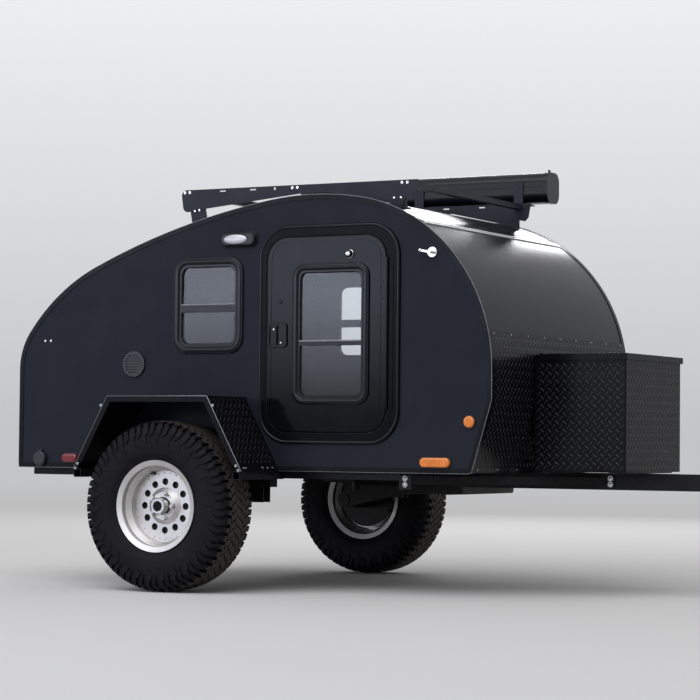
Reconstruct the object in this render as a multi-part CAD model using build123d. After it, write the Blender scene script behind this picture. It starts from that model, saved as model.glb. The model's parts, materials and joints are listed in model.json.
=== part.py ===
"""Teardrop camping trailer with off-road tyres, side doors, a rear galley hatch and a front box.

Millimetres. X runs forward from the axle, Y to the trailer's left and Z up from the ground.
Every piece is modelled in that frame, and write() moves it so that X is 0 at mid length.
"""
from build123d import *
import os
from math import cos, pi, radians, sin, sqrt, tan

os.makedirs("parts", exist_ok=True)

# Clearances
fit_gap = 0.3
panel_gap = 7.0

# Wheels: a 31 x 10.5 tyre on a 15 inch rim
tyre_radius = 387.5
tyre_width = 267.0
lug_count = 30
lug_height = 18.0
crown_row_half = 62.0
shoulder_taper = 0.965
shoulder_share = 0.64
flank_share = 0.05
rim_width = 230.0
rim_lip_radius = 207.5
rim_bead_radius = 190.5
rim_wall = 7.0
rim_dish = 85.0
rim_disc = 12.0
rim_hole_circle = 110.0
rim_hole_radius = 16.0
rim_hole_count = 12
stud_circle = 57.15
stud_count = 5
stud_radius = 6.5
nut_across = 19.0
nut_height = 20.0
hub_cap_radius = 35.5
hub_cap_reach = 64.0
hub_boss = 18.0
drum_radius = 148.0
drum_depth = 82.0
drum_wall = 9.0
spindle_radius = 17.5
spindle_clearance = 0.05

# Body shell: one side profile carried straight across the width
body_width = 1528.0
ride_height = 166.5
rear_reach = 998.0
front_reach = 1513.0
rear_wall_height = 465.4
nose_straight = 134.3
nose_slant_angle = 16.6
wall = 25.0
# tangent arcs behind and ahead of the long roof arc, whose radius follows from the two reaches; each
# angle is what its arc turns through, in degrees
rear_radii = (297.6, 938.0)
rear_angles = (36.1, 30.0)
roof_angle = 15.1
nose_radii = (1445.4, 781.8)
nose_angles = (18.7, 80.1)

# What the sizes above fix
floor_height = tyre_radius + ride_height
half_width = body_width / 2
inner_half = half_width - wall
tyre_gap = 82.5
track = body_width + 2 * tyre_gap + tyre_width

# Seams of the shell
hatch_seam_x = -236.0
hatch_knuckle_radius = 6.0
hatch_strip = 3.0
front_seam_x = front_reach - 341.0
seam_strip = 2.5
seam_strip_width = 30.0
sill_height = 86.0
sill_top = floor_height + sill_height
bulkhead_thickness = 18.0
counter_rise = 376.0
counter_height = floor_height + counter_rise
counter_thickness = 18.0
counter_setback = 60.0
guard_rise = 623.0
guard_thickness = 3.0

# Bright edge moulding round each side
trim_thickness = 3.0
trim_face_width = 18.0
trim_lap = 22.0

# Fenders: a three-sided plate arch from the body side past the tyre
fender_overhang = 115.0
fender_reach = track / 2 + fender_overhang
fender_foot_half = tyre_radius + 64.5
fender_top_half = 268.0
fender_foot_z = floor_height - 3.0
fender_top_z = 2 * tyre_radius + 110.0
fender_plate = 3.0
fender_lip = 27.0
fender_foot_width = 30.0

# Chassis tubes; their tops meet the floor
rail_inset = 52.0
rail_outer = half_width - rail_inset
rail_width = 51.0
rail_depth = 38.0
rail_bottom = floor_height - rail_depth
outrigger_size = 38.0
outrigger_x = fender_foot_half - 25.0
rear_cross_x = -rear_reach + 48.0
beam_width = 76.0
beam_depth = 76.0
brace_size = 38.0
brace_drop = 38.0
brace_setback = 471.0
brace_rear_x = front_reach - brace_setback
brace_plate_length = 60.0
brace_plate_height = 63.0
brace_plate_thickness = 6.0

# Front box of tread plate, with a lid hinged at its rear edge
box_gap = 7.0
box_length = 441.0
box_half = 330.0
box_height = 524.0
box_wall = 3.0
box_bearer_width = 40.0
box_bearer_height = 6.0
box_x = (front_reach + box_gap, front_reach + box_gap + box_length)
box_z = (floor_height + box_bearer_height, floor_height + box_bearer_height + box_height)
lid_strip = 22.0
lid_lip = 25.0
lid_play = 6.0
lid_thickness = 3.0
lid_knuckle = 5.0

# Swivel tongue jack on the left of the beam; swung up, its foot lies ahead of the box
jack_swing_gap = 43.0
jack_pivot_z = floor_height - beam_depth / 2
jack_x = box_x[1] + jack_pivot_z + jack_swing_gap
jack_y = beam_width / 2 + 84.0
jack_tube_radius = 28.5
jack_inner_radius = 23.5
jack_tube_low = 240.0
jack_foot_radius = 70.0
jack_foot_thickness = 8.0
jack_foot_rim = 16.0
jack_top_z = floor_height + 246.0
jack_cap_height = 26.0
jack_disc_radius = 40.0
jack_disc_gap = 12.0
crank_radius = 7.0
crank_reach = 64.0
crank_drop = 104.0
crank_grip = 66.0

# Ball coupler ahead of the jack
beam_end = jack_x + 240.0
coupler_tip = beam_end + 140.0
coupler_plate = 6.0
coupler_ball = 25.4
coupler_clearance = 0.4
coupler_nose_radius = 48.0

# Side door: frame outline, then the leaf inside it
door_fender_lap = 109.0
door_setback = 446.0
door_frame_x = (fender_foot_half - door_fender_lap, front_reach - door_setback)
door_sill = 120.0
door_head = 134.0
door_frame_radius = 150.0
door_flange = 10.0
door_flange_fillet = 4.0
door_jamb = 20.0
door_latch_margin = 46.0
door_hinge_margin = 66.0
door_end_margin = 53.0
door_leaf_radius = 104.0
door_leaf_thickness = 38.0
door_leaf_proud = 14.0
door_leaf_fillet = 5.0
door_groove_inset = 22.0
door_groove_width = 5.0
door_groove_depth = 2.0
door_hinge_radius = 5.0
door_hinge_stand = 18.0
door_hinge_strip = 2.0
door_hinge_leaf = 28.0

# Windows: outer frame, glass and the bar across it
door_window_rear = 136.0
door_window_front = 83.0
door_window_low = 123.0
door_window_high = 124.0
door_window_radius = 62.0
door_window_border = 39.0
door_bar_rise = 227.0
door_bar_height = 25.0
side_window_gap = 113.0
side_window_width = 377.0
side_window_drop = 183.7
side_window_height = 445.0
side_window_radius = 75.0
side_window_border = 43.0
side_bar_rise = 148.0
side_bar_height = 40.0
window_sleeve = 8.0
window_flange = 10.0
window_fillet = 4.0
window_step = 15.0
window_step_depth = 4.0
glass_thickness = 5.0

# Paddle latch near the leaf's rear edge, and the hold-back knob near its hinge
latch_setback = 6.0
latch_width = 102.0
latch_height = 115.0
latch_rise = 381.0
latch_thickness = 8.0
latch_rim = 11.0
latch_paddle_width = 26.0
latch_paddle_proud = 3.0
lock_radius = 8.0
lock_rise = 590.0
knob_setback = 192.0
knob_drop = 85.0
knob_radius = 17.0
knob_reach = 20.0
catch_ahead = 216.0
catch_radius = 24.0
catch_thickness = 8.0
catch_reach = 34.0
catch_arm = 44.0
catch_rod_radius = 5.0
catch_ball_radius = 10.0

# Roof rack of two cut plates and three bars
rack_inset = 158.0
rack_y = half_width - rack_inset
rack_plate = 5.0
rack_stand = 69.0
rack_rear = -192.0
rack_setback = 445.0
rack_front = front_reach - rack_setback
rack_end_bars = (35.0, 67.0)
rack_bar_x = (rack_rear + rack_end_bars[0], (rack_rear + rack_front) / 2 - 8.0, rack_front - rack_end_bars[1])
rack_bar_width = 40.0
rack_bar_height = 25.0
rack_bar_drop = 4.0
rack_slot_length = 34.0
rack_slot_width = 6.0
rack_slot_drop = 12.0
rack_square = 12.0
rack_end_radius = 26.0
foot_flange = 40.0
foot_thickness = 5.0
foot_drop = 67.0
foot_width = 85.0

# Awning case on the left of the rack
awning_end = (62.0, 78.0)
awning_setback = 24.0
awning_size = (140.0, 149.0)
awning_radius = 45.0
awning_cap = 26.0
awning_cap_lap = 2.0
awning_groove = 6.0
awning_bracket_width = 50.0
awning_bracket_height = 110.0
awning_bracket_plate = 5.0
awning_knob_radius = 6.0
awning_knob_height = 12.0
awning_x = (rack_rear - awning_end[0], rack_front + awning_end[1])
awning_y = (rack_y + awning_setback, rack_y + awning_setback + awning_size[0])

# Suspension: a trailing arm in a bracket under each rail
arm_boss = 38.0
pivot_boss = 30.0
pivot_x = 270.0
pivot_drop = 76.0
pivot_radius = 10.0
bracket_x = (-120.0, 379.0)
bracket_height = 41.0
cheek_x = (215.0, 343.0)
cheek_drop = 111.0
cheek_plate = 6.0
spring_x = 60.0
spring_radius = 19.0

# Water tank under the floor
tank_rear_gap = 114.0
tank_gap = 21.0
tank_x = (outrigger_x + outrigger_size / 2 + tank_rear_gap, brace_rear_x - rail_width - tank_gap)
tank_inner = 70.0
tank_height = 114.0
tank_radius = 18.0
tank_strap = 30.0
tank_strap_thickness = 3.0

# Lamps and fittings
lamp_base = 5.0
lamp_border = 3.0
oval_lamp = (152.0, 48.0)
oval_lamp_setback = 342.0
oval_lamp_rise = 20.0
oval_lamp_reach = 20.0
round_lamp_radius = 29.0
round_lamp_setback = 102.0
round_lamp_rise = 223.0
round_lamp_reach = 16.0
rear_marker = (92.0, 47.0)
rear_marker_x = 255.0
rear_marker_rise = 19.0
rear_marker_reach = 22.0
tail_lamp = (160.0, 54.0)
tail_lamp_inset = 164.0
tail_lamp_rise = 16.0
tail_lamp_reach = 18.0
porch_lamp = (191.0, 72.0)
porch_lamp_gap = 16.0
porch_lamp_drop = 142.8
porch_lamp_reach = 24.0
vent_x = -341.0
vent_rise = 486.0
vent_radius = 61.0
vent_reach = 10.0
vent_slot = 6.0
vent_slot_pitch = 13.0
vent_border = 13.0
inlet_setback = 126.0
inlet_rise = 38.0
inlet_radius = 36.0
inlet_reach = 22.0
inlet_fillet = 9.0

# Hatch handle, the rear-most piece
handle_rise = 166.0
handle_stand = 34.0
handle_bar_radius = 7.0
handle_bar_half = 45.0
handle_post_radius = 6.0
handle_plate = (120.0, 60.0, 4.0)
overall_rear = rear_reach + handle_stand
mid_x = (coupler_tip - overall_rear) / 2


def write(name, *solids):
    """Writes one node, moved so that X is 0 at mid length."""
    shape = solids[0] if len(solids) == 1 else Compound(children=list(solids))
    export_step(Pos(-mid_x, 0, 0) * shape, f"parts/{name}.step")


def left(shape):
    """The same piece on the trailer's left."""
    return mirror(shape, about=Plane.XZ)


def both(shape):
    """A right-hand piece and its mirror image."""
    return shape, left(shape)


def block(x, y, z):
    """Box between two corners, given as three (low, high) pairs."""
    low = (x[0], y[0], z[0])
    return Pos(*low) * Box(x[1] - x[0], y[1] - y[0], z[1] - z[0], align=(Align.MIN,) * 3)


def prism(face, y0, y1):
    """A face drawn in X and Z, carried across from y0 to y1."""
    return Pos(0, y1, 0) * (Plane.XZ * extrude(face, y1 - y0, dir=(0, 0, 1)))


def rounded(x, z, radius, y0, y1):
    """A round-cornered panel between y0 and y1."""
    face = RectangleRounded(x[1] - x[0], z[1] - z[0], radius)
    return prism(Pos((x[0] + x[1]) / 2, (z[0] + z[1]) / 2) * face, y0, y1)


def domed(panel, radius):
    """A right-hand panel with the edge of its outer face rounded."""
    return fillet(panel.faces().sort_by(Axis.Y)[0].outer_wire().edges(), radius)


def grown(pair, by):
    """A (low, high) pair widened by the same amount at both ends."""
    return (pair[0] - by, pair[1] + by)


def rod_y(x, z, radius, y0, y1):
    """Round bar along Y."""
    return Pos(x, y1, z) * Rot(90, 0, 0) * Cylinder(radius, y1 - y0, align=(Align.CENTER, Align.CENTER, Align.MIN))


def post(x, y, radius, z0, z1):
    """Round bar along Z."""
    return Pos(x, y, z0) * Cylinder(radius, z1 - z0, align=(Align.CENTER, Align.CENTER, Align.MIN))


def rod_x(y, z, radius, x0, x1):
    """Round bar along X."""
    return Pos(x0, y, z) * Rot(0, 90, 0) * Cylinder(radius, x1 - x0, align=(Align.CENTER, Align.CENTER, Align.MIN))


def solved_arcs():
    """Radius and turn of every roof arc, the long one filling what the two reaches leave."""
    turns = [*rear_angles, roof_angle, *nose_angles]
    radii = [*rear_radii, 0.0, *nose_radii]
    headings = [90.0 - sum(turns[:index]) for index in range(len(turns))]
    shares = [sin(radians(heading)) - sin(radians(heading - turn)) for heading, turn in zip(headings, turns)]
    covered = sum(radius * share for radius, share in zip(radii, shares))
    radii[len(rear_radii)] = (rear_reach + front_reach - covered) / shares[len(rear_radii)]
    return list(zip(radii, turns))


def arc_points():
    """Start point, heading and centre of each roof arc, then the height at which the last one ends."""
    x, z, heading = -rear_reach, floor_height + rear_wall_height, 90.0
    rows = []
    for radius, turn in roof_arcs:
        rows.append((x, z, heading, x + radius * sin(radians(heading)), z - radius * cos(radians(heading))))
        x += radius * (sin(radians(heading)) - sin(radians(heading - turn)))
        z += radius * (cos(radians(heading - turn)) - cos(radians(heading)))
        heading -= turn
    return rows, z


roof_arcs = solved_arcs()
arc_rows, nose_top = arc_points()
nose_break = nose_top - nose_straight
roof_peak = max(row[4] + radius for (radius, turn), row in zip(roof_arcs, arc_rows) if row[2] >= 0 >= row[2] - turn)


def body_outline(inset, drop=0.0):
    """The side profile as a face, moved inwards by inset, with its bottom edge lowered by drop."""
    low = floor_height - drop
    point = Vector(-rear_reach + inset, arc_rows[0][1])
    heading = 90.0
    edges = [Line((point.X, low), point)]
    for radius, turn in roof_arcs:
        direction = (cos(radians(heading)), sin(radians(heading)))
        arc = JernArc(point, direction, radius - inset, -turn)
        edges.append(arc)
        point = arc @ 1
        heading -= turn
    slant = radians(nose_slant_angle)
    break_z = nose_break + inset * tan(slant / 2)
    low_x = front_reach + ((low - nose_break) * sin(slant) - inset) / cos(slant)
    edges.append(Polyline(point, (point.X, break_z), (low_x, low), (-rear_reach + inset, low)))
    return make_face(edges)


def roof_z(x, inset=0.0):
    """Height of the shell's skin at x, at a depth of inset under the outside."""
    for (radius, _), row, following in zip(roof_arcs, arc_rows, arc_rows[1:] + [(front_reach,)]):
        if x <= following[0]:
            return row[4] + sqrt((radius - inset) ** 2 - (x - row[3]) ** 2)
    raise ValueError("x lies beyond the nose")


def band(outer, inner, x, z, half):
    """A stretch of the shell's skin between two insets, inside a window of x and z."""
    ring = prism(body_outline(outer) - body_outline(inner), -half, half)
    return ring & block(x, (-half, half), z)


far = 4000.0
rack_top = roof_peak + rack_stand
door_frame_z = (floor_height + door_sill, roof_peak - door_head)
door_leaf_x = (door_frame_x[0] + door_latch_margin, door_frame_x[1] - door_hinge_margin)
door_leaf_z = grown(door_frame_z, -door_end_margin)
door_hinge_x = door_leaf_x[1] + panel_gap
door_opening_x = grown(door_leaf_x, panel_gap)
door_opening_z = grown(door_leaf_z, panel_gap)
door_opening_radius = door_leaf_radius + panel_gap
door_cut_x = grown(door_opening_x, door_jamb)
door_cut_z = grown(door_opening_z, door_jamb)
door_cut_radius = door_opening_radius + door_jamb
door_window_x = (door_leaf_x[0] + door_window_rear, door_leaf_x[1] - door_window_front)
door_window_z = (door_leaf_z[0] + door_window_low, door_leaf_z[1] - door_window_high)
door_glass_x = grown(door_window_x, -door_window_border)
door_glass_z = grown(door_window_z, -door_window_border)
door_glass_radius = door_window_radius - door_window_border + 11.0
door_bar_z = (door_glass_z[0] + door_bar_rise, door_glass_z[0] + door_bar_rise + door_bar_height)
side_window_x = (hatch_seam_x + side_window_gap, hatch_seam_x + side_window_gap + side_window_width)
side_window_top = roof_z(sum(side_window_x) / 2) - side_window_drop
side_window_z = (side_window_top - side_window_height, side_window_top)
side_glass_x = grown(side_window_x, -side_window_border)
side_glass_z = grown(side_window_z, -side_window_border)
side_glass_radius = side_window_radius - side_window_border + 10.0
side_bar_z = (side_glass_z[0] + side_bar_rise, side_glass_z[0] + side_bar_rise + side_bar_height)
side_hole_x = grown(side_glass_x, window_sleeve)
side_hole_z = grown(side_glass_z, window_sleeve)
side_hole_radius = side_glass_radius + window_sleeve
leaf_face = half_width + door_leaf_proud
leaf_back = leaf_face - door_leaf_thickness
hatch_hinge_z = roof_z(hatch_seam_x) + hatch_knuckle_radius + 2
hatch_half = inner_half - panel_gap + 1
below_trim = block((-far, far), (-half_width - trim_thickness - fit_gap, 0),
                   (0, floor_height + trim_face_width + fit_gap))

# Shell panels
side_panel = prism(body_outline(0), -half_width, -inner_half)
side_panel -= rounded(grown(door_cut_x, fit_gap), grown(door_cut_z, fit_gap), door_cut_radius + fit_gap,
                      -half_width - 1, -inner_half + 1)
side_panel -= rounded(grown(side_hole_x, fit_gap), grown(side_hole_z, fit_gap), side_hole_radius + fit_gap,
                      -half_width - 1, -inner_half + 1)
write("side_panels", *both(side_panel))

roof_low = floor_height + 200
roof_panel = band(0, wall, (hatch_seam_x + panel_gap, front_seam_x), (roof_low, far), inner_half)
roof_panel += band(-hatch_strip, 0, (hatch_seam_x + 4, hatch_seam_x + 40), (roof_low, far), hatch_half)
roof_panel += band(-seam_strip, 0, (front_seam_x - seam_strip_width, front_seam_x), (roof_low, far), inner_half)
roof_panel -= rod_y(hatch_seam_x, hatch_hinge_z, hatch_knuckle_radius + fit_gap, -hatch_half - 1, hatch_half + 1)
write("roof_panel", roof_panel)
write("front_panel", band(0, wall, (front_seam_x, far), (floor_height, far), inner_half))
guard_half = half_width - trim_lap - fit_gap
nose_guard = band(-guard_thickness, -fit_gap, (0, far), (floor_height, floor_height + guard_rise), guard_half)
write("nose_guard", nose_guard & block((front_seam_x, far), (-guard_half, guard_half), (0, far)))
floor_panel = prism(body_outline(wall), -inner_half, inner_half)
write("floor_panel", floor_panel & block((-far, far), (-inner_half, inner_half), (floor_height, floor_height + wall)))

rear_sill = band(0, wall, (-far, 0), (floor_height, sill_top), inner_half)
bulkhead_x = hatch_seam_x + panel_gap
bulkhead = prism(body_outline(wall), -inner_half, inner_half)
bulkhead &= block((bulkhead_x, bulkhead_x + bulkhead_thickness), (-inner_half, inner_half),
                  (floor_height + wall, far))
write("cross_panels", rear_sill, bulkhead)
counter = block((-rear_reach + wall + counter_setback, bulkhead_x), (-inner_half, inner_half),
                (counter_height, counter_height + counter_thickness))
write("galley_counter", counter)

trim = prism(body_outline(-trim_thickness, trim_thickness) - body_outline(0), -half_width, -half_width + trim_lap)
trim += prism(body_outline(-trim_thickness, trim_thickness) - body_outline(trim_face_width, -trim_face_width),
              -half_width - trim_thickness, -half_width)
write("edge_trims", *both(trim))

# Galley hatch: the rear stretch of the shell, hinged at the roof
hatch = band(0, wall, (-far, hatch_seam_x), (sill_top + panel_gap, far), hatch_half)
hatch_knuckle = rod_y(hatch_seam_x, hatch_hinge_z, hatch_knuckle_radius, -hatch_half, hatch_half)
hatch_leaf = band(-hatch_strip, 0, (hatch_seam_x - 45, hatch_seam_x), (sill_top, far), hatch_half)
write("galley_hatch", hatch + hatch_leaf + hatch_knuckle)
handle_z = floor_height + handle_rise
bar_x = -overall_rear + handle_bar_radius
plate_face = RectangleRounded(handle_plate[0], handle_plate[1], 10)
handle = Pos(-rear_reach, 0, handle_z) * (Plane.YZ * extrude(plate_face, -handle_plate[2]))
handle += rod_y(bar_x, handle_z, handle_bar_radius, -handle_bar_half, handle_bar_half)
for y in (-handle_bar_half + handle_bar_radius, handle_bar_half - handle_bar_radius):
    handle += rod_x(y, handle_z, handle_post_radius, bar_x, -rear_reach)
write("hatch_handle", handle)

# Door frame: a flange on the wall, a jamb through it and the fixed leaf of the hinge
door_frame = domed(rounded(door_frame_x, door_frame_z, door_frame_radius, -half_width - door_flange, -half_width),
                   door_flange_fillet)
door_frame += rounded(door_cut_x, door_cut_z, door_cut_radius, -half_width, -inner_half)
door_frame -= rounded(door_opening_x, door_opening_z, door_opening_radius, -half_width - 20, -inner_half + 1)
hinge_y = -half_width - door_hinge_stand
hinge_z = grown(door_leaf_z, -door_leaf_radius)
door_frame += block((door_hinge_x, door_hinge_x + door_hinge_leaf),
                    (hinge_y + door_hinge_radius + fit_gap, -half_width - door_flange), hinge_z)
write("door_frames", *both(door_frame))


def window_frame(outer_x, outer_z, outer_radius, glass_x, glass_z, glass_radius, bar_z, face, back):
    """A window's stepped flange, sleeve and cross bar, and its pane; face and back are depths from mid width."""
    frame = domed(rounded(outer_x, outer_z, outer_radius, -face - window_flange, -face), window_fillet)
    frame -= rounded(grown(glass_x, window_step), grown(glass_z, window_step), glass_radius + window_step,
                     -face - window_flange - 1, -face - window_flange + window_step_depth)
    frame += rounded(grown(glass_x, window_sleeve), grown(glass_z, window_sleeve), glass_radius + window_sleeve,
                     -face, -back)
    frame -= rounded(glass_x, glass_z, glass_radius, -face - 20, -back + 1)
    bar = block(grown(glass_x, 1), (-face - window_flange + window_step_depth, -face + 4), bar_z)
    pane_face = -face + 4 + fit_gap
    pane = rounded(grown(glass_x, -fit_gap), grown(glass_z, -fit_gap), glass_radius, pane_face,
                   pane_face + glass_thickness)
    return frame + bar, pane


side_frame, side_pane = window_frame(side_window_x, side_window_z, side_window_radius, side_glass_x, side_glass_z,
                                     side_glass_radius, side_bar_z, half_width, inner_half)
write("side_window_frames", *both(side_frame))
write("side_window_glass", *both(side_pane))

# Doors, each with its window, latch and hinge knuckle
leaf = domed(rounded(door_leaf_x, door_leaf_z, door_leaf_radius, -leaf_face, -leaf_back), door_leaf_fillet)
groove = door_groove_inset + door_groove_width
groove_floor = -leaf_face + door_groove_depth
leaf -= (rounded(grown(door_leaf_x, -door_groove_inset), grown(door_leaf_z, -door_groove_inset),
                 door_leaf_radius - door_groove_inset, -leaf_face - 1, groove_floor)
         - rounded(grown(door_leaf_x, -groove), grown(door_leaf_z, -groove), door_leaf_radius - groove,
                   -leaf_face - 1, groove_floor))
door_hole_gap = window_sleeve + fit_gap
leaf -= rounded(grown(door_glass_x, door_hole_gap), grown(door_glass_z, door_hole_gap),
                door_glass_radius + door_hole_gap, -leaf_face - 1, -leaf_back + 1)
leaf += post(door_hinge_x, hinge_y, door_hinge_radius, *hinge_z)
leaf += block((door_leaf_x[1] - 24, door_hinge_x), (-leaf_face - door_hinge_strip, -leaf_face), hinge_z)
door_window, door_pane = window_frame(door_window_x, door_window_z, door_window_radius, door_glass_x, door_glass_z,
                                      door_glass_radius, door_bar_z, leaf_face, leaf_back)
latch_x = (door_leaf_x[0] + latch_setback, door_leaf_x[0] + latch_setback + latch_width)
latch_z = (door_leaf_z[0] + latch_rise, door_leaf_z[0] + latch_rise + latch_height)
latch_face = -leaf_face - latch_thickness
latch = domed(rounded(latch_x, latch_z, 20, latch_face, -leaf_face), 3)
latch -= rounded(grown(latch_x, -latch_rim), grown(latch_z, -latch_rim), 10, latch_face - 1, -leaf_face - 2)
paddle_x = latch_x[0] + latch_rim + 13
latch += block((paddle_x, paddle_x + latch_paddle_width), (latch_face - latch_paddle_proud, -leaf_face - 2),
               grown(latch_z, -latch_rim - 3))
lock = rod_y(latch_x[0] + 64, door_leaf_z[0] + lock_rise, lock_radius, -leaf_face - 2, -leaf_face)
knob_x = door_hinge_x - knob_setback
knob_z = door_leaf_z[1] - knob_drop
knob = domed(rod_y(knob_x, knob_z, knob_radius, -leaf_face - knob_reach, -leaf_face), 6)
door_parts = (("door", (leaf,)), ("door_window", (door_window,)), ("door_glass", (door_pane,)),
              ("door_latch", (latch, lock, knob)))
for name, pieces in door_parts:
    write(f"{name}_right", *pieces)
    write(f"{name}_left", *(left(piece) for piece in pieces))


def gear(tip, root, share, turn):
    """Outline of a ring of tread blocks, one to each pitch; share is the part of it that a block's foot fills."""
    pitch = 2 * pi / lug_count
    foot = pitch * share / 2
    top = foot - pitch * flank_share / 2
    points = []
    for index in range(lug_count):
        middle = pitch * (index + turn)
        for radius, angle in ((root, -foot), (tip, -top), (tip, top), (root, foot)):
            points.append((radius * cos(middle + angle), radius * sin(middle + angle)))
    return make_face(Polyline(*points, close=True))


# Wheels, drawn with Z along the wheel's axis and outboard positive
lip = rim_width / 2
bead_radius = rim_bead_radius + fit_gap
bead_z = lip - 19
tyre_half = tyre_width / 2
side_line = ((bead_radius, bead_z), (tyre_radius - 92, tyre_half), (tyre_radius - 50, tyre_half - 10))
casing_line = Polyline(*side_line, *[(r, -z) for r, z in reversed(side_line)], close=True)
casing = revolve(Plane.XZ * make_face(casing_line), Axis.Z)
# the crown row is turned so that the tyre stands on the edge of a block; the shoulder rows' blocks lie foot to foot
# between its blocks and taper outwards
crown_share = 1 - shoulder_share
crown_turn = (crown_share - flank_share) / 2 - lug_count / 4
lug_root = tyre_radius - lug_height
shoulder = loft([Pos(0, 0, z) * gear(tyre_radius * taper, lug_root * taper, shoulder_share, crown_turn + 0.5)
                 for z, taper in ((crown_row_half, 1.0), (tyre_half, shoulder_taper))], ruled=True)
shoulder -= Cylinder(tyre_radius - 92, 2 * tyre_width)
crown = Pos(0, 0, -crown_row_half) * extrude(gear(tyre_radius, lug_root, crown_share, crown_turn), 2 * crown_row_half)
rows = [crown, shoulder, mirror(shoulder, about=Plane.XY)]
cavity_half = bead_z - 12
cavity = Pos(0, 0, -cavity_half) * extrude(RegularPolygon(tyre_radius - 40, 24), 2 * cavity_half)
tyre = (casing + rows) - cavity - Cylinder(bead_radius, 2 * tyre_width)

# The rim: lips, bead seats and drop centre, with the drilled disc set in from the outer lip
disc_face = lip - rim_dish
barrel = rim_bead_radius - 20
rim_inner = barrel - rim_wall
rim_section = ((rim_lip_radius, lip), (rim_lip_radius, lip - 7), (rim_bead_radius, lip - 11),
               (rim_bead_radius, lip - 34), (barrel, lip - 54), (barrel, -lip + 54), (rim_bead_radius, -lip + 34), (rim_bead_radius, -lip + 11),
               (rim_lip_radius, -lip + 7), (rim_lip_radius, -lip), (rim_bead_radius - rim_wall, -lip + 8),
               (rim_bead_radius - rim_wall, -lip + 36), (rim_inner, -lip + 58), (rim_inner, disc_face - rim_disc - 2),
               (100.0, disc_face - rim_disc), (41.0, disc_face - rim_disc), (41.0, disc_face + hub_boss),
               (62.0, disc_face + hub_boss), (84.0, disc_face), (rim_inner, disc_face), (rim_inner, lip - 58),
               (rim_bead_radius - rim_wall, lip - 36), (rim_bead_radius - rim_wall, lip - 8))
rim = revolve(Plane.XZ * make_face(Polyline(*rim_section, close=True)), Axis.Z)
rim -= PolarLocations(rim_hole_circle, rim_hole_count) * post(0, 0, rim_hole_radius, disc_face - rim_disc - 5,
                                                              disc_face + 5)
rim -= PolarLocations(stud_circle, stud_count) * post(0, 0, stud_radius + 1.5, disc_face - rim_disc - 5,
                                                      disc_face + hub_boss + 5)

# The hub: drum and flange behind the disc, studs with their nuts through it, and the cap
nut_seat = disc_face + hub_boss + fit_gap
hub_back = disc_face - rim_disc
drum_back = hub_back - drum_depth
hub = post(0, 0, 75, hub_back - 12, hub_back)
hub += post(0, 0, drum_radius, drum_back, hub_back - 4)
hub -= post(0, 0, drum_radius - drum_wall, drum_back - 1, hub_back - 14)
hub += post(0, 0, 34, drum_back + 6, disc_face + hub_cap_reach)
cap = post(0, 0, hub_cap_radius, nut_seat, disc_face + hub_cap_reach)
hub += fillet(cap.edges().sort_by(Axis.Z)[-1], 5)
stud = post(0, 0, stud_radius, disc_face - 14, nut_seat + nut_height + 6)
stud += Pos(0, 0, nut_seat) * extrude(RegularPolygon(nut_across / 2, 6, major_radius=False), nut_height)
hub += PolarLocations(stud_circle, stud_count) * stud
hub -= post(0, 0, spindle_radius + spindle_clearance, drum_back, disc_face + 30)
wheel_place = Pos(0, -track / 2, tyre_radius) * Rot(90, 0, 0)
for name, piece in (("tyre", tyre), ("rim", rim), ("hub", hub)):
    placed = wheel_place * piece
    write(f"{name}_right", placed)
    write(f"{name}_left", left(placed))

# Stub axles: a trailing arm under each rail carries a spindle and the brake's back plate
inner_rail = rail_outer - rail_width
spindle_outer = track / 2 + disc_face + 20
arm = rod_y(0, tyre_radius, spindle_radius, -spindle_outer, -inner_rail)
arm += rod_y(0, tyre_radius, 32, -rail_outer - 60, -inner_rail)
plate_y = track / 2 + drum_back - 6
arm += rod_y(0, tyre_radius, drum_radius - 4, -plate_y, -plate_y + 5)
arm += rod_y(0, tyre_radius, 45, -plate_y + 4, -rail_outer - 30)
pivot_z = rail_bottom - pivot_drop
arm_outline = make_hull([*(Pos(0, tyre_radius) * Circle(arm_boss)).edges(),
                         *(Pos(pivot_x, pivot_z) * Circle(pivot_boss)).edges()])
arm += prism(arm_outline, -rail_outer + cheek_plate, -inner_rail - cheek_plate)
arm -= rod_y(pivot_x, pivot_z, pivot_radius + fit_gap, -rail_outer, -inner_rail)
write("trailing_arms", *both(arm))
bracket_low = rail_bottom - bracket_height
bracket = block(bracket_x, (-rail_outer - cheek_plate, -inner_rail + cheek_plate), (bracket_low, rail_bottom))
for y in (-rail_outer - cheek_plate, -inner_rail + fit_gap):
    bracket += block(cheek_x, (y, y + cheek_plate - fit_gap), (rail_bottom - cheek_drop, bracket_low))
bracket += rod_y(pivot_x, pivot_z, pivot_radius, -rail_outer - 12, -inner_rail + 12)
spring = post(spring_x, -rail_outer + rail_width / 2, spring_radius, tyre_radius + 12.5, bracket_low + 1)
spring -= prism(offset(arm_outline, fit_gap), -rail_outer - 20, -inner_rail + 20)
bracket += max(spring.solids(), key=lambda piece: piece.center().Z)
write("suspension_brackets", *both(bracket))

# Fenders
fender_line = ((-fender_foot_half, fender_foot_z), (-fender_top_half, fender_top_z), (fender_top_half, fender_top_z),
               (fender_foot_half, fender_foot_z))
fender_face = make_face(Polyline(*fender_line, close=True))
fender = prism(fender_face, -fender_reach, -half_width)
fender -= prism(offset(fender_face, -fender_plate), -fender_reach + fender_plate, -half_width + 1)
fender -= prism(offset(fender_face, -fender_lip), -fender_reach - 1, -fender_reach + fender_plate + 1)
fender -= below_trim
fender_open = fender_foot_half - fender_foot_width
fender -= block((-fender_open, fender_open), (-fender_reach - 1, -half_width + 1),
                (fender_foot_z - 1, fender_foot_z + fender_lip + 1))
write("fenders", *both(fender))

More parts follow.
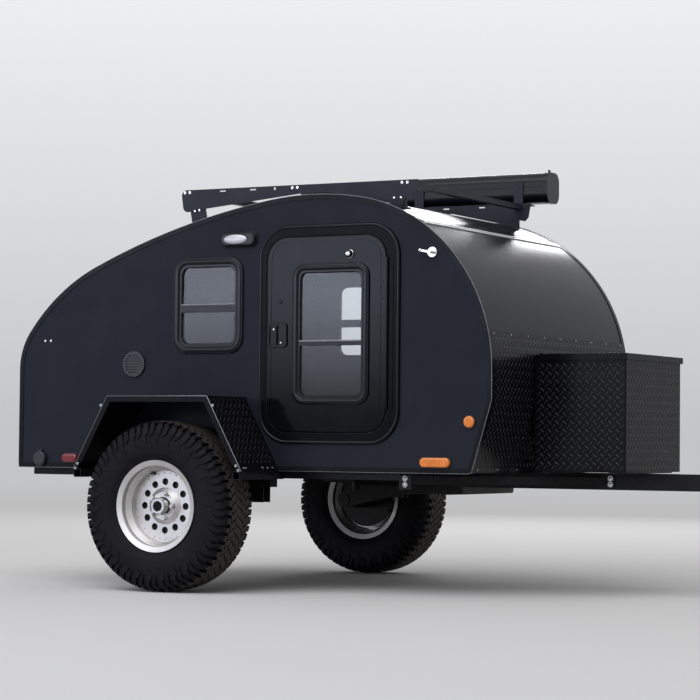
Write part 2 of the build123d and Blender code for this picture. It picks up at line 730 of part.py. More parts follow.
# Chassis
rails = both(block((rear_cross_x + outrigger_size, brace_rear_x - rail_width), (-rail_outer, -inner_rail),
                   (rail_bottom, floor_height)))
write("frame_rails", *rails)
cross_z = (rail_bottom, floor_height)
outrigger_z = (fender_foot_z - outrigger_size, fender_foot_z)
crossmembers = [block((rear_cross_x, rear_cross_x + outrigger_size), (-rail_outer, rail_outer), cross_z)]
for middle in (-outrigger_x, outrigger_x):
    x = grown((middle, middle), outrigger_size / 2)
    crossmembers.append(block(x, (-inner_rail, inner_rail), cross_z))
    tube = block(x, (-fender_reach, -rail_outer), outrigger_z)
    tube -= block(grown(x, -3), (-fender_reach - 1, -fender_reach + 90), grown(outrigger_z, -3))
    crossmembers += both(tube)
crossmembers += both(block((brace_rear_x - rail_width, brace_rear_x), (-rail_outer, -beam_width / 2), cross_z))
for x in (box_x[0] + 40, box_x[1] - 40 - box_bearer_width):
    crossmembers.append(block((x, x + box_bearer_width), (-box_half, box_half), (floor_height, box_z[0])))
write("crossmembers", *crossmembers)
beam_z = (floor_height - beam_depth, floor_height)
write("tongue_beam", block((outrigger_x + outrigger_size / 2, beam_end), (-beam_width / 2, beam_width / 2), beam_z))
brace_z = grown((floor_height - brace_drop,) * 2, brace_size / 2)
brace_start = (brace_rear_x + 18, -rail_outer + 12)
brace_tip_x = brace_start[0] - brace_start[1] - beam_width / 2 + brace_size / sqrt(2)
brace = Pos(*brace_start, floor_height - brace_drop) * Rot(0, 0, 45) * Box(3 * rail_outer, brace_size, brace_size)
brace &= block((brace_rear_x, beam_end), (-rail_outer, -beam_width / 2), (0, far))
write("tongue_braces", *both(brace))
# columns: rear end, length, outer face across, height of the lower edge below the floor
brace_plates = ((brace_rear_x, brace_plate_length, rail_outer, 78.0), (brace_tip_x, 42.0, beam_width / 2, 72.0))
plates = []
for x, length, y, drop in brace_plates:
    plates += both(block((x, x + length), (-y - brace_plate_thickness, -y),
                         (floor_height - drop, floor_height - drop + brace_plate_height)))
write("brace_plates", *plates)

# Coupler: a capped channel with a ball socket, a rounded nose and a latch lever
coupler_half = beam_width / 2 + coupler_plate
coupler_top = floor_height + coupler_plate
ball_x = coupler_tip - coupler_nose_radius
coupler_outline = make_hull([*(Pos(ball_x, 0) * Circle(coupler_nose_radius)).edges(),
                             *(Pos(beam_end - 35, 0) * Rectangle(110, 2 * coupler_half)).edges()])
coupler = Pos(0, 0, beam_z[0]) * extrude(coupler_outline, coupler_top - beam_z[0])
coupler = fillet(coupler.faces().sort_by(Axis.Z)[-1].outer_wire().edges(), 5)
coupler -= block((beam_end - 100, beam_end + fit_gap), (-beam_width / 2, beam_width / 2), (0, floor_height))
lever_line = ((ball_x - 84, coupler_top + 34), (ball_x - 84, coupler_top + 26), (ball_x - 40, coupler_top - 1),
              (ball_x, coupler_top - 1), (ball_x, coupler_top + 8), (ball_x - 30, coupler_top + 22))
coupler += prism(make_face(Polyline(*lever_line, close=True)), -10, 10)
socket_radius = coupler_ball + coupler_clearance
socket_z = beam_z[0] + 24
coupler -= Pos(ball_x, 0, socket_z) * Sphere(socket_radius)
coupler -= post(ball_x, 0, socket_radius, socket_z - 60, socket_z)
write("coupler", coupler)

# Front box and lid
box = block(box_x, (-box_half, box_half), box_z)
box = fillet(box.edges().filter_by(Axis.Z), 4)
box -= block(grown(box_x, -box_wall), (-box_half + box_wall, box_half - box_wall), (box_z[0] + box_wall, far))
box += block((box_x[0] + box_wall, box_x[0] + lid_strip), (-box_half + box_wall, box_half - box_wall),
             (box_z[1] - box_wall, box_z[1]))
write("tongue_box", box)
lid_x = (box_x[0] + lid_strip + panel_gap, box_x[1] + lid_play + lid_thickness)
lid_half = box_half + lid_play + lid_thickness
lid_low = box_z[1] + fit_gap
lid = block(lid_x, (-lid_half, lid_half), (lid_low - lid_lip, lid_low + lid_thickness))
lid -= block((0, box_x[1] + lid_play), (-lid_half + lid_thickness, lid_half - lid_thickness), (0, lid_low))
lid_hinge_x = lid_x[0] - 1
lid_hinge_z = lid_low + lid_thickness
lid += rod_y(lid_hinge_x, lid_hinge_z, lid_knuckle, -box_half + 10, box_half - 10)
write("box_lid", lid)

# Tongue jack
disc_y = jack_y - jack_tube_radius - jack_disc_gap
write("jack_mount", rod_y(jack_x, jack_pivot_z, jack_disc_radius, beam_width / 2, disc_y))
jack = post(jack_x, jack_y, jack_tube_radius, jack_tube_low, jack_top_z)
jack += post(jack_x, jack_y, jack_tube_radius + 3, jack_tube_low, jack_tube_low + 18)
foot_pad = post(jack_x, jack_y, jack_foot_radius, 0, jack_foot_rim)
foot_pad = fillet(foot_pad.edges().sort_by(Axis.Z)[-1], 3)
foot_pad -= post(jack_x, jack_y, jack_foot_radius - 5, jack_foot_thickness, jack_foot_rim + 1)
jack += foot_pad
jack += post(jack_x, jack_y, jack_inner_radius, jack_foot_thickness - 1, jack_tube_low + 20)
jack += post(jack_x, jack_y, jack_inner_radius + 8, jack_foot_thickness - 1, jack_foot_thickness + 22)
jack += rod_y(jack_x, jack_pivot_z, jack_disc_radius - 4, disc_y, jack_y)
jack_cap = post(jack_x, jack_y, jack_tube_radius + 5.5, jack_top_z, jack_top_z + jack_cap_height)
jack += fillet(jack_cap.edges().sort_by(Axis.Z)[-1], 5)
crank_z = jack_top_z + jack_cap_height / 2
crank_y = jack_y + crank_reach
jack += rod_y(jack_x, crank_z, crank_radius, jack_y, crank_y + 6)
jack += post(jack_x, crank_y, crank_radius - 1, crank_z - crank_drop - 6, crank_z)
jack += rod_y(jack_x, crank_z - crank_drop, crank_radius + 4, crank_y, crank_y + crank_grip)
write("jack", jack)

# Roof rack: outline of a plate, from its upper rear corner round its front to its lower edge
rack_front_toe = rack_front - 82
rail_line = ((rack_rear, rack_top), (rack_front, rack_top), (rack_front - 12, rack_top - 70),
             (rack_front - 30, rack_top - 88), (rack_front - 64, rack_top - 82),
             (rack_front_toe, roof_z(rack_front_toe) - 10),
             (rack_front - 160, roof_z(rack_front - 160) + 2), (rack_front - 428, rack_top - 38),
             (rack_rear + 647, rack_top - 41), (rack_rear + 132, rack_top - 92), (rack_rear + 15, rack_top - 107))
rail_face = make_face(Polyline(*rail_line, close=True))
rail_face = fillet(rail_face.vertices().sort_by(Axis.X)[:2], rack_end_radius)
# columns: place along the plate, length and height of each hole
slot_x = (rack_rear + 230, rack_rear + 395, rack_front - 464, rack_front - 266)
rail_holes = [(x, rack_slot_length, rack_slot_width) for x in slot_x]
rail_holes += [(x, rack_square, rack_square) for x in (rack_rear + 513, rack_front - 137)]
for x, length, height in rail_holes:
    rail_face -= Pos(x, rack_top - rack_slot_drop) * Rectangle(length, height)
rack_rail = prism(rail_face, -rack_y - rack_plate / 2, -rack_y + rack_plate / 2)
roof_cut = prism(body_outline(-fit_gap), -half_width, half_width)
write("rack_rails", *both(rack_rail - roof_cut))
bar_top = rack_top - rack_bar_drop
write("rack_bars", *[block(grown((x, x), rack_bar_width / 2), (-rack_y + rack_plate / 2, rack_y - rack_plate / 2),
                           (bar_top - rack_bar_height, bar_top)) for x in rack_bar_x])
feet = []
foot_y = -rack_y + rack_plate / 2
# columns: rear edge at the top, and how far the foot leans forward below
for x, lean in ((rack_rear + 44.0, 30.0), (rack_front - 143.0, 0.0)):
    high = rack_top - foot_drop
    low = roof_z(x + lean) - 30
    foot_line = ((x, high), (x + foot_width, high), (x + foot_width + lean, low), (x + lean, low))
    foot = prism(make_face(Polyline(*foot_line, close=True)), foot_y, foot_y + foot_thickness)
    foot_pad_space = block((x + lean, x + lean + foot_width), (-half_width, 0), (0, high))
    foot += prism(body_outline(-6), foot_y, foot_y + foot_flange) & foot_pad_space
    feet += both(foot - roof_cut)
write("rack_feet", *feet)

# Awning case: an extruded shell with a groove along each side, and its two end caps
awning_z = (rack_top + awning_bracket_plate, rack_top + awning_bracket_plate + awning_size[1])
awning_mid = (sum(awning_y) / 2, sum(awning_z) / 2)
awning_length = awning_x[1] - awning_x[0]
case_face = RectangleRounded(awning_size[0], awning_size[1], awning_radius)
for side in (-1, 1):
    case_face -= Pos(side * awning_size[0] / 2, 0) * Rectangle(2 * awning_groove, awning_groove)
awning = Pos(awning_x[0], *awning_mid) * (Plane.YZ * extrude(case_face, awning_length))
cap_lap = 2 * awning_cap_lap
cap_face = RectangleRounded(awning_size[0] + cap_lap, awning_size[1] + cap_lap, awning_radius + awning_cap_lap)
for x in (awning_x[0], awning_x[1] - awning_cap):
    awning += Pos(x, *awning_mid) * (Plane.YZ * extrude(cap_face, awning_cap))
awning += post(awning_x[1] - awning_cap / 2, awning_y[0] + 50, awning_knob_radius, awning_z[1],
               awning_z[1] + awning_cap_lap + awning_knob_height)
write("awning_case", awning)
brackets = []
for x in (rack_bar_x[1] + 10, rack_bar_x[2] - 10):
    x = grown((x, x), awning_bracket_width / 2)
    upright = awning_y[0] - awning_bracket_plate - fit_gap
    bracket = block(x, (rack_y - rack_plate / 2, awning_y[1]), (rack_top, rack_top + awning_bracket_plate))
    bracket += block(x, (upright, upright + awning_bracket_plate), (rack_top, rack_top + awning_bracket_height))
    brackets.append(bracket)
write("awning_brackets", *brackets)

# Water tank under the floor, in two straps
tank_y = (tank_inner, inner_rail - tank_gap)
tank_z = (floor_height - tank_height, floor_height)
tank = block(tank_x, tank_y, tank_z)
tank = fillet(tank.edges().filter_by(Axis.X).group_by(Axis.Z)[0], tank_radius)
for x in (tank_x[0] + 80, tank_x[1] - 80 - tank_strap):
    strap = block((x, x + tank_strap), grown(tank_y, tank_strap_thickness),
                  (tank_z[0] - tank_strap_thickness, tank_z[1]))
    tank += fillet(strap.edges().filter_by(Axis.X).group_by(Axis.Z)[0], tank_radius + tank_strap_thickness)
write("water_tank", tank)


def lamp(x, z, size, reach):
    """A round-ended side lamp: its base plate and the domed lens on it."""
    span_x = grown((x, x), size[0] / 2)
    span_z = grown((z, z), size[1] / 2)
    radius = size[1] / 2 - 1
    base = rounded(span_x, span_z, radius, -half_width - lamp_base, -half_width)
    lens = rounded(grown(span_x, -lamp_border), grown(span_z, -lamp_border), radius - lamp_border,
                   -half_width - reach, -half_width - lamp_base)
    return base, domed(lens, (reach - lamp_base) / 2)


# Lamps on the sides and the rear; the bases go with the wall fittings
oval_base, oval_lens = lamp(front_reach - oval_lamp_setback + oval_lamp[0] / 2,
                            floor_height + oval_lamp_rise + oval_lamp[1] / 2, oval_lamp, oval_lamp_reach)
round_place = (front_reach - round_lamp_setback, floor_height + round_lamp_rise)
round_base = rod_y(*round_place, round_lamp_radius, -half_width - lamp_base, -half_width)
round_lens = rod_y(*round_place, round_lamp_radius - lamp_border, -half_width - round_lamp_reach,
                   -half_width - lamp_base)
write("lamps_amber", *both(oval_lens), *both(domed(round_lens, 8)))
marker_base, marker_lens = lamp(-rear_reach + rear_marker_x + rear_marker[0] / 2,
                                floor_height + rear_marker_rise + rear_marker[1] / 2, rear_marker, rear_marker_reach)
red = list(both(marker_lens))
for y in (-half_width + tail_lamp_inset, half_width - tail_lamp_inset):
    tail = Pos(-rear_reach, y, floor_height + tail_lamp_rise + tail_lamp[1] / 2) * (
        Plane.YZ * extrude(RectangleRounded(tail_lamp[0], tail_lamp[1], 12), -tail_lamp_reach))
    red.append(fillet(tail.faces().sort_by(Axis.X)[0].outer_wire().edges(), 6))
write("lamps_red", *red)
porch_x = door_frame_x[0] - porch_lamp_gap - porch_lamp[0] / 2
porch_base, porch_lens = lamp(porch_x, roof_z(porch_x) - porch_lamp_drop, porch_lamp, porch_lamp_reach)
write("porch_lights", *both(porch_lens))

# Round louvred vents, the power inlet under its cover, and the lamps' bases
vent_z = floor_height + vent_rise
vent = domed(rod_y(vent_x, vent_z, vent_radius, -half_width - vent_reach, -half_width), 2)
for step in range(-3, 4):
    rise = step * vent_slot_pitch
    reach = sqrt((vent_radius - vent_border) ** 2 - rise ** 2)
    vent -= block((vent_x - reach, vent_x + reach), (-half_width - vent_reach - 1, -half_width - 3),
                  grown((vent_z + rise,) * 2, vent_slot / 2))
inlet_x = -rear_reach + inlet_setback
inlet_z = floor_height + inlet_rise
inlet = domed(rod_y(inlet_x, inlet_z, inlet_radius, -half_width - inlet_reach, -half_width), inlet_fillet)
inlet += block((inlet_x - 10, inlet_x + 10), (-half_width - 12, -half_width),
               grown((inlet_z + inlet_radius,) * 2, 6))
write("wall_fittings", *both(vent), inlet - below_trim, *both(oval_base - below_trim), *both(round_base),
      *both(marker_base - below_trim), *both(porch_base))

# Hold-back catches: a disc on the wall, a rod forward of the door and its ball
catch_x = door_hinge_x + catch_ahead
catch_z = knob_z - 4
catch_y = -half_width - catch_reach
catch = domed(rod_y(catch_x, catch_z, catch_radius, -half_width - catch_thickness, -half_width), 3)
catch += rod_y(catch_x, catch_z, catch_rod_radius + 3, catch_y - catch_rod_radius, -half_width)
ball_tip = (catch_x - catch_arm, catch_z + 7)
catch += prism(make_face(Polyline((catch_x, catch_z - 5), (catch_x, catch_z + 5), (ball_tip[0], ball_tip[1] + 4),
                                  (ball_tip[0], ball_tip[1] - 4), close=True)), catch_y - 4, catch_y + 4)
catch += Pos(ball_tip[0], catch_y, ball_tip[1]) * Sphere(catch_ball_radius)
write("door_catches", *both(catch))
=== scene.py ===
"""Looks of a black off-road teardrop camping trailer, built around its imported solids.

Metres. X runs forward, Y to the trailer's left and Z up from the ground, as in the solids.
"""
from __future__ import annotations

import json
import logging
import math
from dataclasses import dataclass, field
from enum import Enum

import bpy
import numpy as np
from mathutils import Matrix, Vector
from mathutils.bvhtree import BVHTree

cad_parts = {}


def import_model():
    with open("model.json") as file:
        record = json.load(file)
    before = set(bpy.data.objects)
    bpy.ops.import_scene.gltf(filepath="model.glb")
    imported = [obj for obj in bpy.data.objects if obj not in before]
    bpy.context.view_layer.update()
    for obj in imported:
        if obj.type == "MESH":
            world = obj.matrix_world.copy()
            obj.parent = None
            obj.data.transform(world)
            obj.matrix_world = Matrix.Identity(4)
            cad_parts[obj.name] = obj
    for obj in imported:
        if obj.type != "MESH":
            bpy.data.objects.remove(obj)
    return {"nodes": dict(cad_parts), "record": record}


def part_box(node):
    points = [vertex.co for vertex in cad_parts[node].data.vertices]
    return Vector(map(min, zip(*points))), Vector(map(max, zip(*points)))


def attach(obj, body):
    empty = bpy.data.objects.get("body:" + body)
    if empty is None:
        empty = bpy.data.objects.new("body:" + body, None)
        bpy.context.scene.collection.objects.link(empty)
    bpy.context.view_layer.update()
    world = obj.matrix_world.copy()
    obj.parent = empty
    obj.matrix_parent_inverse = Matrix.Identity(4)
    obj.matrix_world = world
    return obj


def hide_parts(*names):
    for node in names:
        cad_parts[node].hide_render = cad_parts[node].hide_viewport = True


LOG = logging.getLogger("trailer")
Triple = tuple[float, float, float]
Colour = Triple
Profile = tuple[tuple[float, float], ...]
Rows = tuple[Triple, ...]
Strip = tuple[float, float, float, float]
Bezel = tuple[str, float, float, float, tuple[float, float]]
Materials = dict[str, bpy.types.Material]
AXLE_HEIGHT = 0.3875


class Body(Enum):
    """The bodies that the pieces built here belong to."""

    TRAILER = "trailer"
    DOOR_RIGHT = "door_right"
    DOOR_LEFT = "door_left"
    LID = "lid"
    WHEEL_RIGHT = "wheel_right"
    WHEEL_LEFT = "wheel_left"


DOORS = (Body.DOOR_RIGHT, Body.DOOR_LEFT)
WHEELS = (Body.WHEEL_RIGHT, Body.WHEEL_LEFT)


# Meshes

@dataclass
class Form:
    """Points and faces gathered for one piece."""

    points: list[np.ndarray] = field(default_factory=list)
    faces: list[list[int]] = field(default_factory=list)
    count: int = 0

    def add(self, points: np.ndarray, faces: np.ndarray | list[list[int]]) -> None:
        """Adds one patch.

        Args:
            points: an array of shape (n, 3).
            faces: rows of indices into those points.
        """
        if isinstance(faces, np.ndarray):
            self.faces.extend((faces + self.count).tolist())
        else:
            self.faces.extend([[index + self.count for index in face] for face in faces])
        self.points.append(np.asarray(points, float))
        self.count += len(points)

    def repeat(self, shape: Form, places: Places) -> None:
        """Adds one copy of a shape at each place: its origin + x * along + y * across + z * out.

        Args:
            shape: the shape, about its own origin.
            places: where the copies go.
        """
        template = np.concatenate(shape.points)
        copies = places.at[:, None, :]
        for column, direction in enumerate((places.along, places.across, places.out)):
            copies = copies + template[None, :, column, None] * direction[:, None, :]
        for size in sorted({len(face) for face in shape.faces}):
            rows = np.array([face for face in shape.faces if len(face) == size])
            shifted = rows[None] + (np.arange(len(copies)) * len(template))[:, None, None] + self.count
            self.faces.extend(shifted.reshape(-1, size).tolist())
        self.points.append(copies.reshape(-1, 3))
        self.count += copies.shape[0] * copies.shape[1]

    def mirrored(self) -> Form:
        """The same form on the other side of the trailer, with its faces turned to stay outward."""
        points = np.concatenate(self.points) * (1.0, -1.0, 1.0)
        return Form([points], [face[::-1] for face in self.faces], self.count)

    def join(self, other: Form) -> None:
        """Adds all of another form."""
        self.add(np.concatenate(other.points), other.faces)

    def both_sides(self) -> Form:
        """This form with its mirror image added."""
        self.join(self.mirrored())
        return self

    def outward(self) -> Form:
        """Turns a closed form's faces outward: their signed volume, a sum over fans of triangles, is positive.

        Returns:
            This form.
        """
        points = np.concatenate(self.points)
        volume = 0.0
        for size in sorted({len(face) for face in self.faces}):
            rows = points[np.array([face for face in self.faces if len(face) == size])]
            for step in range(1, size - 1):
                volume += float(np.einsum("ij,ij->", rows[:, 0], np.cross(rows[:, step], rows[:, step + 1])))
        if volume < 0:
            self.faces = [face[::-1] for face in self.faces]
        return self

    def build(self, name: str, material: bpy.types.Material, body: Body, slot: str,
              crease: float = 35.0) -> bpy.types.Object:
        """Makes the mesh object and lets it ride on a body.

        Args:
            name: the piece's name.
            material: its finish.
            body: the body that carries it.
            slot: the record's material slot; not used.
            crease: edges sharper than this many degrees stay sharp.

        Returns:
            The new object.
        """
        mesh = bpy.data.meshes.new(name)
        mesh.from_pydata(np.concatenate(self.points).tolist(), [], self.faces)
        mesh.validate()
        mesh.shade_smooth()
        mesh.set_sharp_from_angle(angle=math.radians(crease))
        mesh.materials.append(material)
        piece = bpy.data.objects.new(name, mesh)
        bpy.context.scene.collection.objects.link(piece)
        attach(piece, body.value)
        LOG.info("%s: %d points, %d faces, on %s", name, len(mesh.vertices), len(mesh.polygons), body.value)
        return piece

    def pair(self, name: str, material: bpy.types.Material, bodies: tuple[Body, Body], slot: str) -> None:
        """Builds this form on the right body and its mirror image on the left one.

        Args:
            name: the pieces' name without its side.
            material: their finish.
            bodies: the right and the left body.
            slot: the record's material slot.
        """
        self.build(f"{name}_right", material, bodies[0], slot)
        self.mirrored().build(f"{name}_left", material, bodies[1], slot)


@dataclass(frozen=True)
class Places:
    """Where copies of a shape go: origins and three unit directions, each an array of shape (n, 3)."""

    at: np.ndarray
    along: np.ndarray
    across: np.ndarray
    out: np.ndarray

    @staticmethod
    def facing(at: np.ndarray, along: Triple, out: Triple) -> Places:
        """Places that all face one way.

        Args:
            at: the origins.
            along: the direction of every shape's X.
            out: the direction of every shape's Z.

        Returns:
            The places.
        """
        directions = (same(direction, len(at)) for direction in (along, np.cross(out, along), out))
        return Places(np.asarray(at, float), *directions)

    def turned(self, degrees: np.ndarray) -> Places:
        """The same places, each turned about its own outward direction.

        Args:
            degrees: one angle for each place.

        Returns:
            The turned places: along cos a + across sin a, and across cos a - along sin a.
        """
        angle = np.radians(degrees)[:, None]
        along = self.along * np.cos(angle) + self.across * np.sin(angle)
        across = self.across * np.cos(angle) - self.along * np.sin(angle)
        return Places(self.at, along, across, self.out)


def same(direction: Triple | np.ndarray, count: int) -> np.ndarray:
    """One direction repeated, as (count, 3)."""
    return np.tile(direction, (count, 1))


def unit(vectors: np.ndarray) -> np.ndarray:
    """Vectors divided by their own lengths."""
    return vectors / np.linalg.norm(vectors, axis=-1, keepdims=True)


def reach_along(points: np.ndarray) -> np.ndarray:
    """Each point's distance along a line of points, shape (n,)."""
    return np.concatenate([[0], np.cumsum(np.linalg.norm(np.diff(points, axis=0), axis=1))])


def read_line(at: np.ndarray, reach: np.ndarray, points: np.ndarray) -> np.ndarray:
    """The points of a line at some distances along it, each coordinate taken in a straight run between two."""
    return np.stack([np.interp(at, reach, column) for column in points.T], -1)


def grid_faces(rows: int, columns: int, wrap_rows: bool = False, wrap_columns: bool = False) -> np.ndarray:
    """Quads of a grid of points stored row by row: (i, j), (i + 1, j), (i + 1, j + 1), (i, j + 1).

    Args:
        rows: how many rows of points there are.
        columns: how many points a row has.
        wrap_rows: True where the last row joins the first.
        wrap_columns: True where each row closes on itself.

    Returns:
        The faces, shape (n, 4).
    """
    row = np.arange(rows if wrap_rows else rows - 1)
    column = np.arange(columns if wrap_columns else columns - 1)
    i, j = np.meshgrid(row, column, indexing="ij")
    i2, j2 = (i + 1) % rows, (j + 1) % columns
    return np.stack([i * columns + j, i2 * columns + j, i2 * columns + j2, i * columns + j2], -1).reshape(-1, 4)


def lathe(profile: Profile | list[tuple[float, float]], turns: int) -> Form:
    """A profile turned about Z: each point of the grid is (r cos a, r sin a, h).

    Args:
        profile: (radius, height) pairs, from the top middle outwards and down; an end radius of 0 is a closed pole.
        turns: steps round the axis.

    Returns:
        The form, with its faces outward.
    """
    form = Form()
    rows = [row for row in profile if row[0] > 0]
    radius, height = np.array(rows).T
    angle = np.linspace(0, 2 * np.pi, turns, endpoint=False)
    points = np.stack([radius[:, None] * np.cos(angle), radius[:, None] * np.sin(angle),
                       np.repeat(height[:, None], turns, 1)], -1).reshape(-1, 3)
    form.add(points, grid_faces(len(rows), turns, wrap_columns=True))
    ring = np.arange(turns)
    if profile[0][0] == 0:
        form.points.append(np.array([[0, 0, profile[0][1]]], float))
        form.faces.extend(np.stack([np.full(turns, form.count), ring, (ring + 1) % turns], -1).tolist())
        form.count += 1
    if profile[-1][0] == 0:
        last = (len(rows) - 1) * turns
        form.points.append(np.array([[0, 0, profile[-1][1]]], float))
        pole = np.full(turns, form.count)
        form.faces.extend(np.stack([pole, last + (ring + 1) % turns, last + ring], -1).tolist())
        form.count += 1
    return form.outward()


def sweep(path: np.ndarray, side: np.ndarray, up: np.ndarray, section: np.ndarray, closed: bool) -> Form:
    """A closed section carried along a path: each point is path + s * side + t * up for the section's (s, t).

    Args:
        path: the points of the path, shape (n, 3).
        side: the section's first direction at each point.
        up: the section's second direction at each point.
        section: (k, 2) offsets, or (n, k, 2) where the section changes along the path.
        closed: True where the path closes on itself.

    Returns:
        The form, with its ends closed by a face where the path is open.
    """
    section = np.broadcast_to(section, (len(path), *section.shape[-2:]))
    points = path[:, None] + section[..., 0:1] * side[:, None] + section[..., 1:2] * up[:, None]
    sides = section.shape[1]
    form = Form()
    form.add(points.reshape(-1, 3), grid_faces(len(path), sides, closed, True))
    if not closed:
        form.faces.append(list(range(sides)))
        form.faces.append(list(range(len(path) * sides - sides, len(path) * sides))[::-1])
    return form.outward()


def circle(radius: float, sides: int) -> np.ndarray:
    """A round section as (sides, 2) offsets."""
    angle = np.linspace(0, 2 * np.pi, sides, endpoint=False)
    return radius * np.stack([np.cos(angle), np.sin(angle)], -1)


@dataclass(frozen=True)
class RoundedLoop:
    """A rectangle with round corners in X and Z."""

    low: tuple[float, float]
    high: tuple[float, float]
    radius: float

    @staticmethod
    def round_box(node: str, radius: float, inset: float = 0.0) -> RoundedLoop:
        """The loop that follows a node's box in X and Z, moved inwards by inset."""
        low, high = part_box(node)
        return RoundedLoop((low.x + inset, low.z + inset), (high.x - inset, high.z - inset), radius - inset)

    def line(self, steps: int = 12) -> tuple[np.ndarray, np.ndarray]:
        """The loop as four quarter arcs joined by straights: centre + radius * (cos a, sin a).

        Args:
            steps: steps on each arc.

        Returns:
            Its points and their outward normals, each of shape (n, 2).
        """
        centres = np.array([(self.high[0] - self.radius, self.low[1] + self.radius),
                            (self.high[0] - self.radius, self.high[1] - self.radius),
                            (self.low[0] + self.radius, self.high[1] - self.radius),
                            (self.low[0] + self.radius, self.low[1] + self.radius)])
        angle = np.radians(np.linspace(-90, 0, steps + 1))[None] + np.radians(90) * np.arange(4)[:, None]
        normal = np.stack([np.cos(angle), np.sin(angle)], -1)
        return (centres[:, None] + self.radius * normal).reshape(-1, 2), normal.reshape(-1, 2)

    def spaced(self, count: int) -> np.ndarray:
        """Points evenly spaced along the loop's length, the first half a space on.

        Args:
            count: how many points.

        Returns:
            The points, shape (count, 2).
        """
        points, _ = self.line(24)
        ring = np.concatenate([points, points[:1]])
        reach = reach_along(ring)
        return read_line((np.arange(count) + 0.5) / count * reach[-1], reach, ring)

    def tube(self, y: float, section: np.ndarray) -> Form:
        """A section carried round the loop, its first direction outwards and its second along Y.

        Args:
            y: the loop's place along Y.
            section: the section's offsets.

        Returns:
            The closed tube.
        """
        points, normal = self.line()
        path = np.insert(points, 1, y, axis=1)
        return sweep(path, np.insert(normal, 1, 0.0, axis=1), same((0.0, 1.0, 0.0), len(path)), section, True)


# Measures of the solids

def corners(node: str) -> np.ndarray:
    """Every point of a node's mesh.

    Args:
        node: the node's name.

    Returns:
        The points, shape (n, 3).
    """
    mesh = frame["nodes"][node].data
    points = np.empty(len(mesh.vertices) * 3, np.float32)
    mesh.vertices.foreach_get("co", points)
    return points.reshape(-1, 3).astype(float)


def right_hand(node: str) -> np.ndarray:
    """The points of a node's mesh on the trailer's right-hand side."""
    points = corners(node)
    return points[points[:, 1] < 0]


def axle_x() -> float:
    """Where the axle lies along X."""
    low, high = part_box("hub_right")
    return (low.x + high.x) / 2


def spots(rows: Rows | list[tuple[float, float, float]] | np.ndarray) -> np.ndarray:
    """Points in the solids' frame from rows in millimetres, measured from the ground under the axle."""
    return np.array(rows, float) / 1000 + np.array([axle_x(), 0.0, 0.0])


def surface_hits(node: str, starts: np.ndarray, direction: Triple | np.ndarray) -> np.ndarray:
    """Where rays first meet a node.

    Args:
        node: the node's name.
        starts: the rays' starts, shape (n, 3).
        direction: one direction for all, or one for each.

    Returns:
        The points, shape (n, 3); a ray that misses gives its start.
    """
    mesh = frame["nodes"][node].data
    tree = BVHTree.FromPolygons(corners(node).tolist(), [tuple(face.vertices) for face in mesh.polygons])
    ways = np.broadcast_to(direction, starts.shape)
    hits = [tree.ray_cast(Vector(start), Vector(way))[0] for start, way in zip(starts, ways)]
    return np.array([start if hit is None else hit for start, hit in zip(starts, hits)], float)


@dataclass(frozen=True)
class FenderShape:
    """The right fender's box, its middle along X and half the length of its top."""

    low: np.ndarray
    high: np.ndarray
    middle: float
    top_half: float

    @staticmethod
    def measured() -> FenderShape:
        """Measures the solid: the points within a millimetre of its top give the top's length.

        Returns:
            The fender's shape.
        """
        points = right_hand("fenders")
        low, high = points.min(0), points.max(0)
        middle = (low[0] + high[0]) / 2
        top = points[points[:, 2] > high[2] - 0.001]
        return FenderShape(low, high, middle, float(np.abs(top[:, 0] - middle).max()))

    def slope(self) -> np.ndarray:
        """From the top's front edge down to the foot."""
        return np.array([(self.high[0] - self.low[0]) / 2 - self.top_half, 0.0, self.low[2] - self.high[2]])


# Shader nodes

